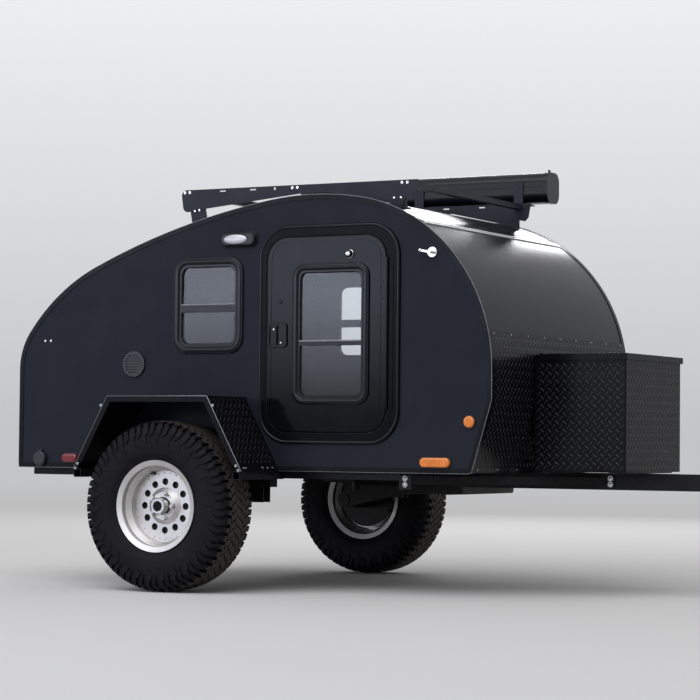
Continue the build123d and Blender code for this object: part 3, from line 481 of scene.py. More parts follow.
class Graph:
    """Adds nodes to a tree and links them by their sockets' names."""

    def __init__(self, tree: bpy.types.NodeTree) -> None:
        """Starts on an emptied tree."""
        self.tree = tree
        tree.nodes.clear()

    def add(self, kind: str, inputs: dict | None = None, **settings: object) -> bpy.types.Node:
        """Adds one node.

        Args:
            kind: the node's type without its ShaderNode prefix.
            inputs: socket name or number to a value or to the output that feeds it.
            settings: properties of the node.

        Returns:
            The node.
        """
        node = self.tree.nodes.new(kind if kind.startswith("Node") else "ShaderNode" + kind)
        for key, value in settings.items():
            setattr(node, key, value)
        for key, value in (inputs or {}).items():
            if isinstance(value, bpy.types.NodeSocket):
                self.tree.links.new(value, node.inputs[key])
            else:
                node.inputs[key].default_value = value
        return node

    def place(self) -> bpy.types.NodeSocket:
        """Object coordinates."""
        return self.add("TexCoord").outputs["Object"]

    def maths(self, operation: str, first: object, second: object) -> bpy.types.NodeSocket:
        """The result of one clamped maths node."""
        return self.add("Math", {0: first, 1: second}, operation=operation, use_clamp=True).outputs[0]

    def vector(self, operation: str, *inputs: object, output: str = "Vector") -> bpy.types.NodeSocket:
        """The result of one vector maths node."""
        return self.add("VectorMath", dict(enumerate(inputs)), operation=operation).outputs[output]

    def mask(self, tree: bpy.types.NodeTree, inputs: dict) -> bpy.types.NodeSocket:
        """The mask that a shared group puts out for these inputs."""
        return self.add("Group", inputs, node_tree=tree).outputs["Mask"]

    def axle_reach(self) -> bpy.types.NodeSocket:
        """Distance from the wheels' axle: the length of (x - axle x, 0, z - axle height)."""
        centred = self.vector("SUBTRACT", self.place(), (axle_x(), 0.0, AXLE_HEIGHT))
        return self.vector("LENGTH", self.vector("MULTIPLY", centred, (1.0, 0.0, 1.0)), output="Value")

    def span(self, value: object, low: float, high: float, to_low: float = 0.0,
             to_high: float = 1.0) -> bpy.types.NodeSocket:
        """A value's range from low to high stretched to another range and clamped there."""
        inputs = {"Value": value, "From Min": low, "From Max": high, "To Min": to_low, "To Max": to_high}
        return self.add("MapRange", inputs).outputs["Result"]

    def blend(self, share: object, first: object, second: object) -> bpy.types.NodeSocket:
        """The mix of two colours.

        Args:
            share: the second colour's share.
            first: a colour or the output that gives it.
            second: the same.

        Returns:
            The mixed colour's output.
        """
        colours = [(*value, 1.0) if isinstance(value, tuple) else value for value in (first, second)]
        return self.add("Mix", {0: share, 6: colours[0], 7: colours[1]}, data_type="RGBA").outputs[2]

    def noise(self, scale: object, detail: float, roughness: float = 0.55,
              stretch: Triple = (1, 1, 1)) -> bpy.types.NodeSocket:
        """Noise on Object coordinates.

        Args:
            scale: its scale, or the output that gives it.
            detail: how many finer layers it has.
            roughness: how strong they are.
            stretch: a factor on the coordinates along each axis.

        Returns:
            The noise's output.
        """
        place = self.place()
        if stretch != (1, 1, 1):
            place = self.add("Mapping", {"Vector": place, "Scale": stretch}).outputs["Vector"]
        inputs = {"Vector": place, "Scale": scale, "Detail": detail, "Roughness": roughness}
        return self.add("TexNoise", inputs).outputs["Fac"]


def group(name: str, inputs: dict[str, float],
          outputs: dict[str, str]) -> tuple[bpy.types.NodeTree, Graph, bpy.types.NodeOutputs]:
    """Starts a shader node group.

    Args:
        name: the group's name.
        inputs: each number input and its default.
        outputs: each output's name and its socket type.

    Returns:
        The group's tree, a graph on it and what its input node gives.
    """
    tree = bpy.data.node_groups.new(name, "ShaderNodeTree")
    for key, value in inputs.items():
        tree.interface.new_socket(key, in_out="INPUT", socket_type="NodeSocketFloat").default_value = value
    for key, kind in outputs.items():
        tree.interface.new_socket(key, in_out="OUTPUT", socket_type=kind)
    graph = Graph(tree)
    return tree, graph, graph.add("NodeGroupInput").outputs


@dataclass
class Effects:
    """Shader node groups that several finishes share."""

    wear: bpy.types.NodeTree = field(init=False)
    dust: bpy.types.NodeTree = field(init=False)
    grain: bpy.types.NodeTree = field(init=False)

    def __post_init__(self) -> None:
        """Builds each group once."""
        self.wear = self.edge_wear()
        self.dust = self.road_dust()
        self.grain = self.paint_grain()

    @staticmethod
    def edge_wear(flat: float = 0.97, sharp: float = 0.80) -> bpy.types.NodeTree:
        """Mask of rubbed edges: where a rounded normal leaves the true one, broken up by noise.

        Args:
            flat: the two normals' product where wear starts.
            sharp: their product where it is full.

        Returns:
            The group.
        """
        tree, graph, given = group("edge_wear", {"Radius": 0.002, "Amount": 0.5, "Scale": 60.0},
                                   {"Mask": "NodeSocketFloat"})
        rounded = graph.add("Bevel", {"Radius": given["Radius"]}, samples=4).outputs[0]
        true = graph.add("NewGeometry").outputs["Normal"]
        facing = graph.vector("DOT_PRODUCT", rounded, true, output="Value")
        patches = graph.span(graph.noise(given["Scale"], 4.0, 0.5), 0.45, 0.65)
        broken = graph.maths("MULTIPLY", graph.span(facing, flat, sharp), patches)
        graph.add("NodeGroupOutput", {"Mask": graph.maths("MULTIPLY", broken, given["Amount"])})
        return tree

    @staticmethod
    def road_dust(falloff: float = 1.6, on_top: float = 0.35) -> bpy.types.NodeTree:
        """Mask of settled dust, in soft patches: (1 - z / height) ^ falloff, or more on faces that look up.

        Args:
            falloff: how fast it thins out above the ground.
            on_top: its share on a level face.

        Returns:
            The group.
        """
        tree, graph, given = group("road_dust", {"Height": 0.7, "Amount": 0.4, "Scale": 6.0},
                                   {"Mask": "NodeSocketFloat"})
        level = graph.add("SeparateXYZ", {0: graph.place()}).outputs["Z"]
        low = graph.maths("SUBTRACT", 1.0, graph.maths("DIVIDE", level, given["Height"]))
        looks_up = graph.add("SeparateXYZ", {0: graph.add("NewGeometry").outputs["Normal"]}).outputs["Z"]
        top = graph.span(looks_up, 0.5, 1.0, 0.0, on_top)
        patches = graph.span(graph.noise(given["Scale"], 6.0, 0.5), 0.3, 0.7, 0.3, 1.0)
        base = graph.maths("MAXIMUM", graph.maths("POWER", low, falloff), top)
        mask = graph.maths("MULTIPLY", graph.maths("MULTIPLY", base, patches), given["Amount"])
        graph.add("NodeGroupOutput", {"Mask": mask})
        return tree

    @staticmethod
    def paint_grain() -> bpy.types.NodeTree:
        """Fine unevenness of paint or moulded plastic.

        Returns:
            The group, which puts out the normal that the grain gives.
        """
        tree, graph, given = group("paint_grain", {"Scale": 400.0, "Depth": 0.0002, "Strength": 0.3},
                                   {"Normal": "NodeSocketVector"})
        grain = graph.noise(given["Scale"], 2.0, 0.5)
        bump = graph.add("Bump", {"Height": grain, "Distance": given["Depth"], "Strength": given["Strength"]})
        graph.add("NodeGroupOutput", {"Normal": bump.outputs["Normal"]})
        return tree


# Finishes

NOISE_BAND = (0.3, 0.7)
PATCH_BAND = (0.35, 0.7)


def new_material(name: str) -> tuple[bpy.types.Material, Graph]:
    """An empty node material and a graph on it.

    Args:
        name: the material's name.

    Returns:
        The material and the graph.
    """
    material = bpy.data.materials.new(name)
    material.use_nodes = True
    return material, Graph(material.node_tree)


def shader(graph: Graph, inputs: dict) -> None:
    """Puts the Principled shader with these inputs on the material's output."""
    node = graph.add("BsdfPrincipled", inputs)
    graph.add("OutputMaterial", {"Surface": node.outputs[0]})


def shaded(colour: Colour, factor: float, lift: float = 0.0) -> Colour:
    """A colour times a factor, plus a lift, held under 1."""
    return tuple(min(1.0, value * factor + lift) for value in colour)


@dataclass(frozen=True)
class Coating:
    """Paint, powder coat, anodising, moulded plastic or bare metal, from one base tone."""

    name: str
    colour: Colour
    roughness: float
    spread: float
    ior: float = 1.5
    metallic: float = 0.0
    mottle: float = 0.12
    mottle_scale: float = 5.0
    mottle_lift: float = 0.001
    brushed: Triple = (1, 1, 1)
    grain_scale: float = 500.0
    grain_depth: float = 0.0002
    grain_strength: float = 0.25
    wear: float = 0.0
    wear_radius: float = 0.0015
    wear_colour: Colour = (0.16, 0.16, 0.165)
    dust: float = 0.0
    dust_height: float = 0.9
    dust_colour: Colour = (0.20, 0.175, 0.145)
    dust_dulls: float = 0.4

    def build(self, effects: Effects) -> bpy.types.Material:
        """Makes the material.

        Args:
            effects: the shared node groups.

        Returns:
            The material, with its tone varied in soft patches, rubbed at edges and dusted near the ground.
        """
        material, graph = new_material(self.name)
        lighter = shaded(self.colour, 1 + self.mottle, self.mottle_lift)
        darker = shaded(self.colour, 1 - self.mottle)
        tone = graph.blend(graph.span(graph.noise(self.mottle_scale, 5.0), *NOISE_BAND), darker, lighter)
        wear = graph.mask(effects.wear, {"Radius": self.wear_radius, "Amount": self.wear})
        dust = graph.mask(effects.dust, {"Height": self.dust_height, "Amount": self.dust})
        tone = graph.blend(dust, graph.blend(wear, tone, self.wear_colour), self.dust_colour)
        smears = graph.noise(self.mottle_scale * 3, 4.0, stretch=self.brushed)
        gloss = graph.span(smears, *NOISE_BAND, self.roughness - self.spread, self.roughness + self.spread)
        rough = graph.maths("ADD", gloss, graph.maths("MULTIPLY", dust, self.dust_dulls))
        grain = {"Scale": self.grain_scale, "Depth": self.grain_depth, "Strength": self.grain_strength}
        shader(graph, {"Base Color": tone, "Roughness": rough, "Metallic": self.metallic, "IOR": self.ior,
                       "Normal": graph.add("Group", grain, node_tree=effects.grain).outputs["Normal"]})
        return material


@dataclass(frozen=True)
class Turned:
    """Alloy turned on a lathe: fine rings about the wheel's axle, bright, with dust in its low places."""

    name: str = "wheel_alloy"
    colour: Colour = (0.60, 0.585, 0.58)
    shade: float = 0.86
    patch_scale: float = 7.0
    ring_scale: float = 620.0
    ring_depth: float = 0.00004
    ring_strength: float = 0.35
    gloss: tuple[float, float] = (0.34, 0.48)
    smears: float = 0.08
    dust: float = 0.16
    dust_height: float = 0.9
    dust_colour: Colour = (0.22, 0.20, 0.18)

    def build(self, effects: Effects) -> bpy.types.Material:
        """Makes the material.

        Args:
            effects: the shared node groups.

        Returns:
            The material, with rings on (distance from the axle, distance along it).
        """
        material, graph = new_material(self.name)
        along = graph.add("SeparateXYZ", {0: graph.place()}).outputs["Y"]
        line = graph.add("CombineXYZ", {"X": graph.axle_reach(), "Y": along}).outputs[0]
        rings = graph.add("TexNoise", {"Vector": line, "Scale": self.ring_scale, "Detail": 1.0}).outputs["Fac"]
        patches = graph.noise(self.patch_scale, 4.0)
        tone = graph.blend(graph.span(patches, *PATCH_BAND), shaded(self.colour, self.shade), self.colour)
        dust = graph.mask(effects.dust, {"Height": self.dust_height, "Amount": self.dust})
        smears = graph.span(patches, 0.3, 0.8, 0.0, self.smears)
        gloss = graph.maths("ADD", graph.span(rings, *NOISE_BAND, *self.gloss), smears)
        bump = graph.add("Bump", {"Height": rings, "Distance": self.ring_depth, "Strength": self.ring_strength})
        shader(graph, {"Base Color": graph.blend(dust, tone, self.dust_colour), "Roughness": gloss, "Metallic": 1.0,
                       "Normal": bump.outputs["Normal"]})
        return material


@dataclass(frozen=True)
class Rubber:
    """Tyre rubber: near black, matt, rubbed at its edges, with pale dirt and a tread that the road has scuffed."""

    name: str = "tyre_rubber"
    colour: Colour = (0.0032, 0.0031, 0.0046)
    patchy: float = 1.7
    patch_scale: float = 9.0
    gloss: tuple[float, float] = (0.5, 0.78)
    ior: float = 1.22
    wear: float = 0.5
    wear_radius: float = 0.003
    wear_colour: Colour = (0.045, 0.042, 0.040)
    dirt: float = 0.20
    dirt_scale: float = 26.0
    dirt_band: tuple[float, float] = (0.50, 0.74)
    dirt_colour: Colour = (0.034, 0.031, 0.030)
    tread_radius: tuple[float, float] = (0.3790, 0.3835)
    tread_colour: Colour = (0.066, 0.058, 0.050)
    tread_share: tuple[float, float] = (0.45, 0.9)
    grain_scale: float = 320.0
    grain_depth: float = 0.0005
    grain_strength: float = 0.5

    def build(self, effects: Effects) -> bpy.types.Material:
        """Makes the material.

        Args:
            effects: the shared node groups.

        Returns:
            The material, with its tread told from its wall by the distance from the axle.
        """
        material, graph = new_material(self.name)
        patches = graph.span(graph.noise(self.patch_scale, 6.0), *PATCH_BAND)
        tone = graph.blend(patches, self.colour, shaded(self.colour, self.patchy))
        wear = graph.mask(effects.wear, {"Radius": self.wear_radius, "Amount": self.wear})
        tone = graph.blend(wear, tone, self.wear_colour)
        dirt = graph.noise(self.dirt_scale, 8.0, 0.65)
        tone = graph.blend(graph.span(dirt, *self.dirt_band, 0.0, self.dirt), tone, self.dirt_colour)
        worn = graph.maths("MULTIPLY", graph.span(graph.axle_reach(), *self.tread_radius),
                           graph.span(dirt, *NOISE_BAND, *self.tread_share))
        tone = graph.blend(worn, tone, self.tread_colour)
        grain = {"Scale": self.grain_scale, "Depth": self.grain_depth, "Strength": self.grain_strength}
        shader(graph, {"Base Color": tone, "Roughness": graph.span(dirt, *NOISE_BAND, *self.gloss), "IOR": self.ior,
                       "Normal": graph.add("Group", grain, node_tree=effects.grain).outputs["Normal"]})
        return material


@dataclass(frozen=True)
class Glass:
    """Tinted safety glass: see-through, with a clear reflection and a faint film."""

    name: str = "tinted_glass"
    tint: Colour = (0.92, 0.945, 0.955)
    film: float = 0.93
    film_scale: float = 2.2
    ior: float = 1.30

    def build(self, _: Effects) -> bpy.types.Material:
        """Makes the material, which needs none of the shared groups.

        Returns:
            The material.
        """
        material, graph = new_material(self.name)
        film = graph.span(graph.noise(self.film_scale, 4.0), *PATCH_BAND)
        tone = graph.blend(film, self.tint, shaded(self.tint, self.film))
        shader(graph, {"Base Color": tone, "Roughness": 0.0, "Transmission Weight": 1.0, "IOR": self.ior,
                       "Metallic": 0.0})
        return material


@dataclass(frozen=True)
class Lens:
    """Moulded lamp lens: clear coloured plastic over a ribbed back, its rib troughs darkened by painted shade."""

    name: str
    colour: Colour
    rib_scale: float = 47.619
    rib_depth: float = 0.0008
    rib_trough_painted_shade: float = 0.62
    patch_scale: float = 30.0
    patches: float = 0.4
    gloss: tuple[float, float] = (0.08, 0.2)
    coat: float = 0.3
    coat_roughness: float = 0.05

    def build(self, _: Effects) -> bpy.types.Material:
        """Makes the material, which needs none of the shared groups.

        Returns:
            The material, with upright ribs along X and painted shade in their troughs.
        """
        material, graph = new_material(self.name)
        ribs = graph.add("TexWave", {"Vector": graph.place(), "Scale": self.rib_scale, "Distortion": 0.0},
                         wave_type="BANDS", bands_direction="X", wave_profile="SIN").outputs["Fac"]
        patches = graph.noise(self.patch_scale, 3.0)
        # painted shade: the rib troughs take a darker copy of the lens colour than the crowns
        tone = graph.blend(ribs, shaded(self.colour, self.rib_trough_painted_shade), self.colour)
        paler = graph.span(patches, 0.4, 0.7, 0.0, self.patches)
        tone = graph.blend(paler, tone, shaded(self.colour, 1.2, 0.02))
        bump = graph.add("Bump", {"Height": ribs, "Distance": self.rib_depth, "Strength": 0.5})
        shader(graph, {"Base Color": tone, "Roughness": graph.span(patches, *NOISE_BAND, *self.gloss),
                       "Coat Weight": self.coat, "Coat Roughness": self.coat_roughness,
                       "Normal": bump.outputs["Normal"]})
        return material


@dataclass(frozen=True)
class Board:
    """Sealed plywood: long grain lines under a stain, with dust."""

    name: str = "floor_board"
    pale: Colour = (0.10, 0.075, 0.05)
    dark: Colour = (0.05, 0.036, 0.025)
    gloss: tuple[float, float] = (0.5, 0.7)
    grain_scale: float = 14.0
    grain_stretch: Triple = (0.6, 9.0, 9.0)
    grain_depth: float = 0.0008
    dust: float = 0.5
    dust_height: float = 0.8
    dust_colour: Colour = (0.16, 0.14, 0.115)

    def build(self, effects: Effects) -> bpy.types.Material:
        """Makes the material.

        Args:
            effects: the shared node groups.

        Returns:
            The material, with its grain along X.
        """
        material, graph = new_material(self.name)
        lines = graph.noise(self.grain_scale, 8.0, 0.6, self.grain_stretch)
        tone = graph.blend(graph.span(lines, *NOISE_BAND), self.dark, self.pale)
        dust = graph.mask(effects.dust, {"Height": self.dust_height, "Amount": self.dust})
        bump = graph.add("Bump", {"Height": lines, "Distance": self.grain_depth, "Strength": 0.5})
        shader(graph, {"Base Color": graph.blend(dust, tone, self.dust_colour),
                       "Roughness": graph.span(lines, *NOISE_BAND, *self.gloss), "Normal": bump.outputs["Normal"]})
        return material


COATINGS: tuple[Coating, ...] = (
    Coating("satin_skin", (0.0088, 0.0102, 0.0170), 0.46, 0.04, ior=1.2, mottle=0.08, grain_scale=650.0,
            grain_strength=0.18, dust=0.06),
    Coating("satin_roof", (0.0070, 0.0080, 0.0108), 0.21, 0.02, ior=1.17, mottle=0.08, grain_scale=420.0,
            grain_strength=0.08, dust=0.03),
    Coating("gloss_door", (0.0012, 0.0015, 0.0030), 0.10, 0.02, ior=1.22, mottle=0.10, grain_scale=60.0,
            grain_strength=0.05),
    Coating("tread_plate", (0.0030, 0.0030, 0.0046), 0.24, 0.05, ior=1.17, mottle=0.2, grain_scale=900.0,
            wear=0.14, wear_colour=(0.10, 0.10, 0.11), dust=0.03),
    Coating("trim_black", (0.0045, 0.0048, 0.0070), 0.22, 0.05, ior=1.18, mottle=0.1, wear=0.25,
            wear_colour=(0.12, 0.12, 0.125), dust=0.05),
    # edge_moulding: pale metal for the beads and strips built here, which are painted highlights along edges and bars
    Coating("edge_moulding", (0.155, 0.158, 0.168), 0.30, 0.05, metallic=0.85, wear=0.3,
            wear_colour=(0.4, 0.4, 0.41), dust=0.1),
    Coating("frame_black", (0.0050, 0.0055, 0.0085), 0.14, 0.03, ior=1.27, mottle=0.1, wear=0.10,
            wear_colour=(0.08, 0.08, 0.085), dust=0.04),
    Coating("latch_black", (0.0035, 0.0035, 0.0050), 0.16, 0.04, ior=1.22, grain_scale=300.0, wear=0.2,
            wear_colour=(0.07, 0.07, 0.075), dust=0.04),
    Coating("fitting_plastic", (0.0150, 0.0155, 0.0200), 0.36, 0.06, ior=1.38, grain_scale=350.0,
            grain_strength=0.4, wear=0.12, wear_colour=(0.08, 0.08, 0.085), dust=0.12),
    Coating("bright_metal", (0.58, 0.58, 0.585), 0.14, 0.05, metallic=1.0, mottle=0.06, dust=0.10,
            brushed=(1, 1, 6)),
    Coating("dull_screw", (0.26, 0.265, 0.28), 0.28, 0.06, metallic=0.9, mottle=0.1, dust=0.10),
    Coating("chassis_black", (0.0042, 0.0042, 0.0062), 0.26, 0.07, ior=1.22, mottle=0.2, grain_scale=260.0,
            grain_depth=0.0005, grain_strength=0.35, wear=0.12, wear_colour=(0.06, 0.06, 0.065), dust=0.10),
    Coating("jack_zinc", (0.52, 0.53, 0.54), 0.34, 0.10, metallic=0.9, mottle=0.2, mottle_scale=22.0, dust=0.25),
    Coating("rack_grey", (0.0190, 0.0205, 0.0300), 0.44, 0.05, ior=1.25, mottle=0.1, grain_scale=520.0,
            grain_depth=0.0004, grain_strength=0.45, wear=0.2, wear_colour=(0.10, 0.10, 0.105), dust=0.05),
    Coating("awning_shell", (0.0030, 0.0033, 0.0055), 0.25, 0.04, ior=1.32, mottle=0.1, grain_scale=300.0,
            wear=0.05, dust=0.02),
    Coating("tank_plastic", (0.010, 0.010, 0.012), 0.5, 0.06, ior=1.3, grain_scale=240.0, dust=0.12),
    Coating("hub_steel", (0.55, 0.55, 0.56), 0.26, 0.08, metallic=1.0, mottle=0.15, mottle_scale=30.0, wear=0.2,
            dust=0.30),
    Coating("door_surround", (0.0020, 0.0023, 0.0040), 0.20, 0.03, ior=1.13, mottle=0.1, wear=0.05,
            wear_colour=(0.08, 0.08, 0.085), dust=0.02),
    Coating("tread_bar", (0.0050, 0.0052, 0.0075), 0.20, 0.05, ior=1.45, mottle=0.2, wear=0.25,
            wear_colour=(0.16, 0.16, 0.17), dust=0.03),
    Coating("porch_lens", (0.42, 0.425, 0.44), 0.36, 0.04, metallic=0.6, mottle=0.1, dust=0.05),
    Coating("seal_rubber", (0.0028, 0.0028, 0.0034), 0.50, 0.08, ior=1.35, mottle=0.1, dust=0.04),
)
LENSES = (Lens("amber_lens", (0.74, 0.20, 0.02)), Lens("red_lens", (0.17, 0.006, 0.012)))
NODE_FINISHES = {"roof_panel": "satin_roof", "front_panel": "satin_roof", "galley_hatch": "satin_roof",
                 "cross_panels": "satin_roof", "edge_trims": "trim_black", "porch_lights": "frame_black",
                 "door_frames": "door_surround"}


def all_finishes(effects: Effects) -> Materials:
    """Every material by its name."""
    finishes = [*COATINGS, *LENSES, Turned(), Rubber(), Glass(), Board()]
    return {finish.name: finish.build(effects) for finish in finishes}


def dress_solids(materials: Materials) -> None:
    """Gives each carried-over solid the finish that the record's slot names, or its own in NODE_FINISHES.

    Args:
        materials: every material by its name.
    """
    slots = [row["slot"] for row in frame["record"]["materials"]]
    for name, solid in frame["nodes"].items():
        for place in solid.material_slots:
            key = next((slot for slot in slots if place.material and place.material.name.startswith(slot)), None)
            if key is None:
                LOG.warning("%s has no known slot: %s", name, place.material)
                continue
            place.material = materials[NODE_FINISHES.get(name, key)]


# Tread plate

@dataclass(frozen=True)
class TreadPattern:
    """Raised bars of tread plate: one bar leaning each way in every square cell.

    rings are (share of the outline, share of the height) from the bar's foot to its crown.
    """

    cell: float = 0.0365
    length: float = 0.027
    width: float = 0.0062
    height: float = 0.0014
    margin: float = 0.014
    seat: float = 0.0002
    sides: int = 10
    rings: Profile = ((0.90, 0.65), (0.62, 1.0))

    def bar(self) -> Form:
        """One bar: a pointed oval (x = a cos t, y = b sin t |sin t|^0.5) that narrows to a flat crown.

        Returns:
            The closed bar, standing on Z = 0 and seated a little under it.
        """
        form = Form()
        angle = np.linspace(0, 2 * np.pi, self.sides, endpoint=False)
        outline = np.stack([self.length / 2 * np.cos(angle),
                            self.width / 2 * np.sin(angle) * np.abs(np.sin(angle)) ** 0.5], -1)
        levels = [(1.0, -self.seat), *((share, self.height * rise) for share, rise in self.rings)]
        rings = [np.column_stack([outline * share, np.full(self.sides, level)]) for share, level in levels]
        form.add(np.concatenate(rings), grid_faces(3, self.sides, wrap_columns=True)[:, ::-1])
        form.faces.append(list(range(2 * self.sides, 3 * self.sides)))
        form.faces.append(list(range(self.sides))[::-1])
        return form

    def cells(self, width: float, height: float) -> tuple[np.ndarray, np.ndarray, np.ndarray]:
        """Where the bars lie on a sheet: every second point of a grid of half cells, centred on it.

        Args:
            width: the sheet's width.
            height: its height.

        Returns:
            The bars' places across and up the sheet, and each bar's lean in degrees.
        """
        columns = int((width - 2 * self.margin) / self.cell * 2) + 1
        rows = int((height - 2 * self.margin) / self.cell * 2) + 1
        i, j = np.meshgrid(np.arange(columns), np.arange(rows), indexing="ij")
        keep = (i + j) % 2 == 0
        u = (i[keep] - (columns - 1) / 2) * self.cell / 2 + width / 2
        v = (j[keep] - (rows - 1) / 2) * self.cell / 2 + height / 2
        return u, v, np.where(i[keep] % 2 == 0, 45.0, -45.0)

    def flat(self, corner: Triple, along: Triple, up: Triple, width: float, height: float) -> Places:
        """Places of the bars on a flat sheet: corner + u * along + v * up.

        Args:
            corner: the sheet's corner.
            along: the direction of its width.
            up: the direction of its height.
            width: its width.
            height: its height.

        Returns:
            The places, which face the way of along x up.
        """
        u, v, lean = self.cells(width, height)
        along_unit, up_unit = np.asarray(along, float), np.asarray(up, float)
        at = np.asarray(corner, float) + u[:, None] * along_unit + v[:, None] * up_unit
        return Places.facing(at, tuple(along_unit), tuple(np.cross(along_unit, up_unit))).turned(lean)


@dataclass
class TreadSheets:
    """Tread plate relief on the box, its lid, the fenders and the nose."""

    pattern: TreadPattern = TreadPattern()
    lid_gap: float = 0.004
    lid_clear: float = 0.016
    lid_band: float = 0.008
    wall_gap: float = 0.004
    foot_gap: float = 0.03
    nose_rays: int = 90
    nose_edge: float = 0.001
    nose_step: float = 0.004

    def box(self) -> Form:
        """The four walls of the front box.

        Returns:
            The bars, up to the lid's edge.
        """
        form, bar = Form(), self.pattern.bar()
        low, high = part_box("tongue_box")
        long, wide = high.x - low.x, high.y - low.y
        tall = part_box("box_lid")[0].z - self.lid_gap - low.z
        for x, y, along, width in ((low.x, low.y, (1, 0, 0), long), (high.x, low.y, (0, 1, 0), wide),
                                   (high.x, high.y, (-1, 0, 0), long), (low.x, high.y, (0, -1, 0), wide)):
            form.repeat(bar, self.pattern.flat((x, y, low.z), along, (0, 0, 1), width, tall))
        return form

    def lid(self) -> Form:
        """The top of the box's lid.

        Returns:
            The bars, clear of the hinge.
        """
        form = Form()
        low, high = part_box("box_lid")
        levels = corners("box_lid")[:, 2]
        level = float(np.median(levels[levels > high.z - self.lid_band]))
        start = low.x + self.lid_clear
        places = self.pattern.flat((start, low.y, level), (1, 0, 0), (0, 1, 0), high.x - start, high.y - low.y)
        form.repeat(self.pattern.bar(), places)
        return form

    def fenders(self) -> Form:
        """The top and both slopes of the right fender, and the same on the left.

        Returns:
            The bars of both fenders.
        """
        form, bar, shape = Form(), self.pattern.bar(), FenderShape.measured()
        y_out, y_in, top = shape.low[1], shape.high[1] - self.wall_gap, shape.high[2]
        rear, front = shape.middle - shape.top_half, shape.middle + shape.top_half
        down = unit(shape.slope())
        length = float(np.linalg.norm(shape.slope())) - self.foot_gap
        for x, y, along, across, run in ((rear, y_out, (1, 0, 0), (0, 1, 0), 2 * shape.top_half),
                                         (front, y_out, tuple(down), (0, 1, 0), length),
                                         (rear, y_in, (-down[0], 0.0, down[2]), (0, -1, 0), length)):
            form.repeat(bar, self.pattern.flat((x, y, top), along, across, run, y_in - y_out))
        return form.both_sides()

    def nose(self) -> Form:
        """The plate round the nose: bars follow the profile that rays find on the solid.

        Returns:
            The bars.
        """
        low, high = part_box("nose_guard")
        levels = np.linspace(high.z - self.nose_edge, low.z + self.nose_edge, self.nose_rays)
        starts = np.stack([np.full(self.nose_rays, high.x + 1.0), np.zeros(self.nose_rays), levels], -1)
        profile = surface_hits("nose_guard", starts, (-1, 0, 0))
        reach = reach_along(profile)
        v, u, lean = self.pattern.cells(reach[-1], high.y - low.y)
        at, ahead = (read_line(place, reach, profile) for place in (v, v + self.nose_step))
        at[:, 1] = ahead[:, 1] = low.y + u
        along, across = unit(ahead - at), same((0.0, 1.0, 0.0), len(at))
        form = Form()
        form.repeat(self.pattern.bar(), Places(at, along, across, np.cross(along, across)).turned(lean))
        return form

    def make(self, materials: Materials) -> None:
        """Builds the four pieces.

        Args:
            materials: every material by its name.
        """
        for name, form, body in (("box", self.box(), Body.TRAILER), ("lid", self.lid(), Body.LID),
                                 ("fender", self.fenders(), Body.TRAILER), ("nose", self.nose(), Body.TRAILER)):
            form.build(f"{name}_tread_bars", materials["tread_bar"], body, "tread_plate", 60)


# Tyres

@dataclass(frozen=True)
class BlockRow:
    """One row of tread blocks round the tyre.

    low and high are distances across the tread from its middle, share is the part of a pitch that a block
    fills, shift its start as a part of a pitch, skew how far it leans, notch how deep its zigzag is,
    slant how far its outer end runs off square, each how many blocks share one pitch and steps how many
    square jogs its sides make in place of the zigzag.
    """

    low: float
    high: float
    share: float
    shift: float
    skew: float
    notch: float
    slant: float = 0.0
    rows: int = 7
    each: int = 1
    steps: float = 0.0


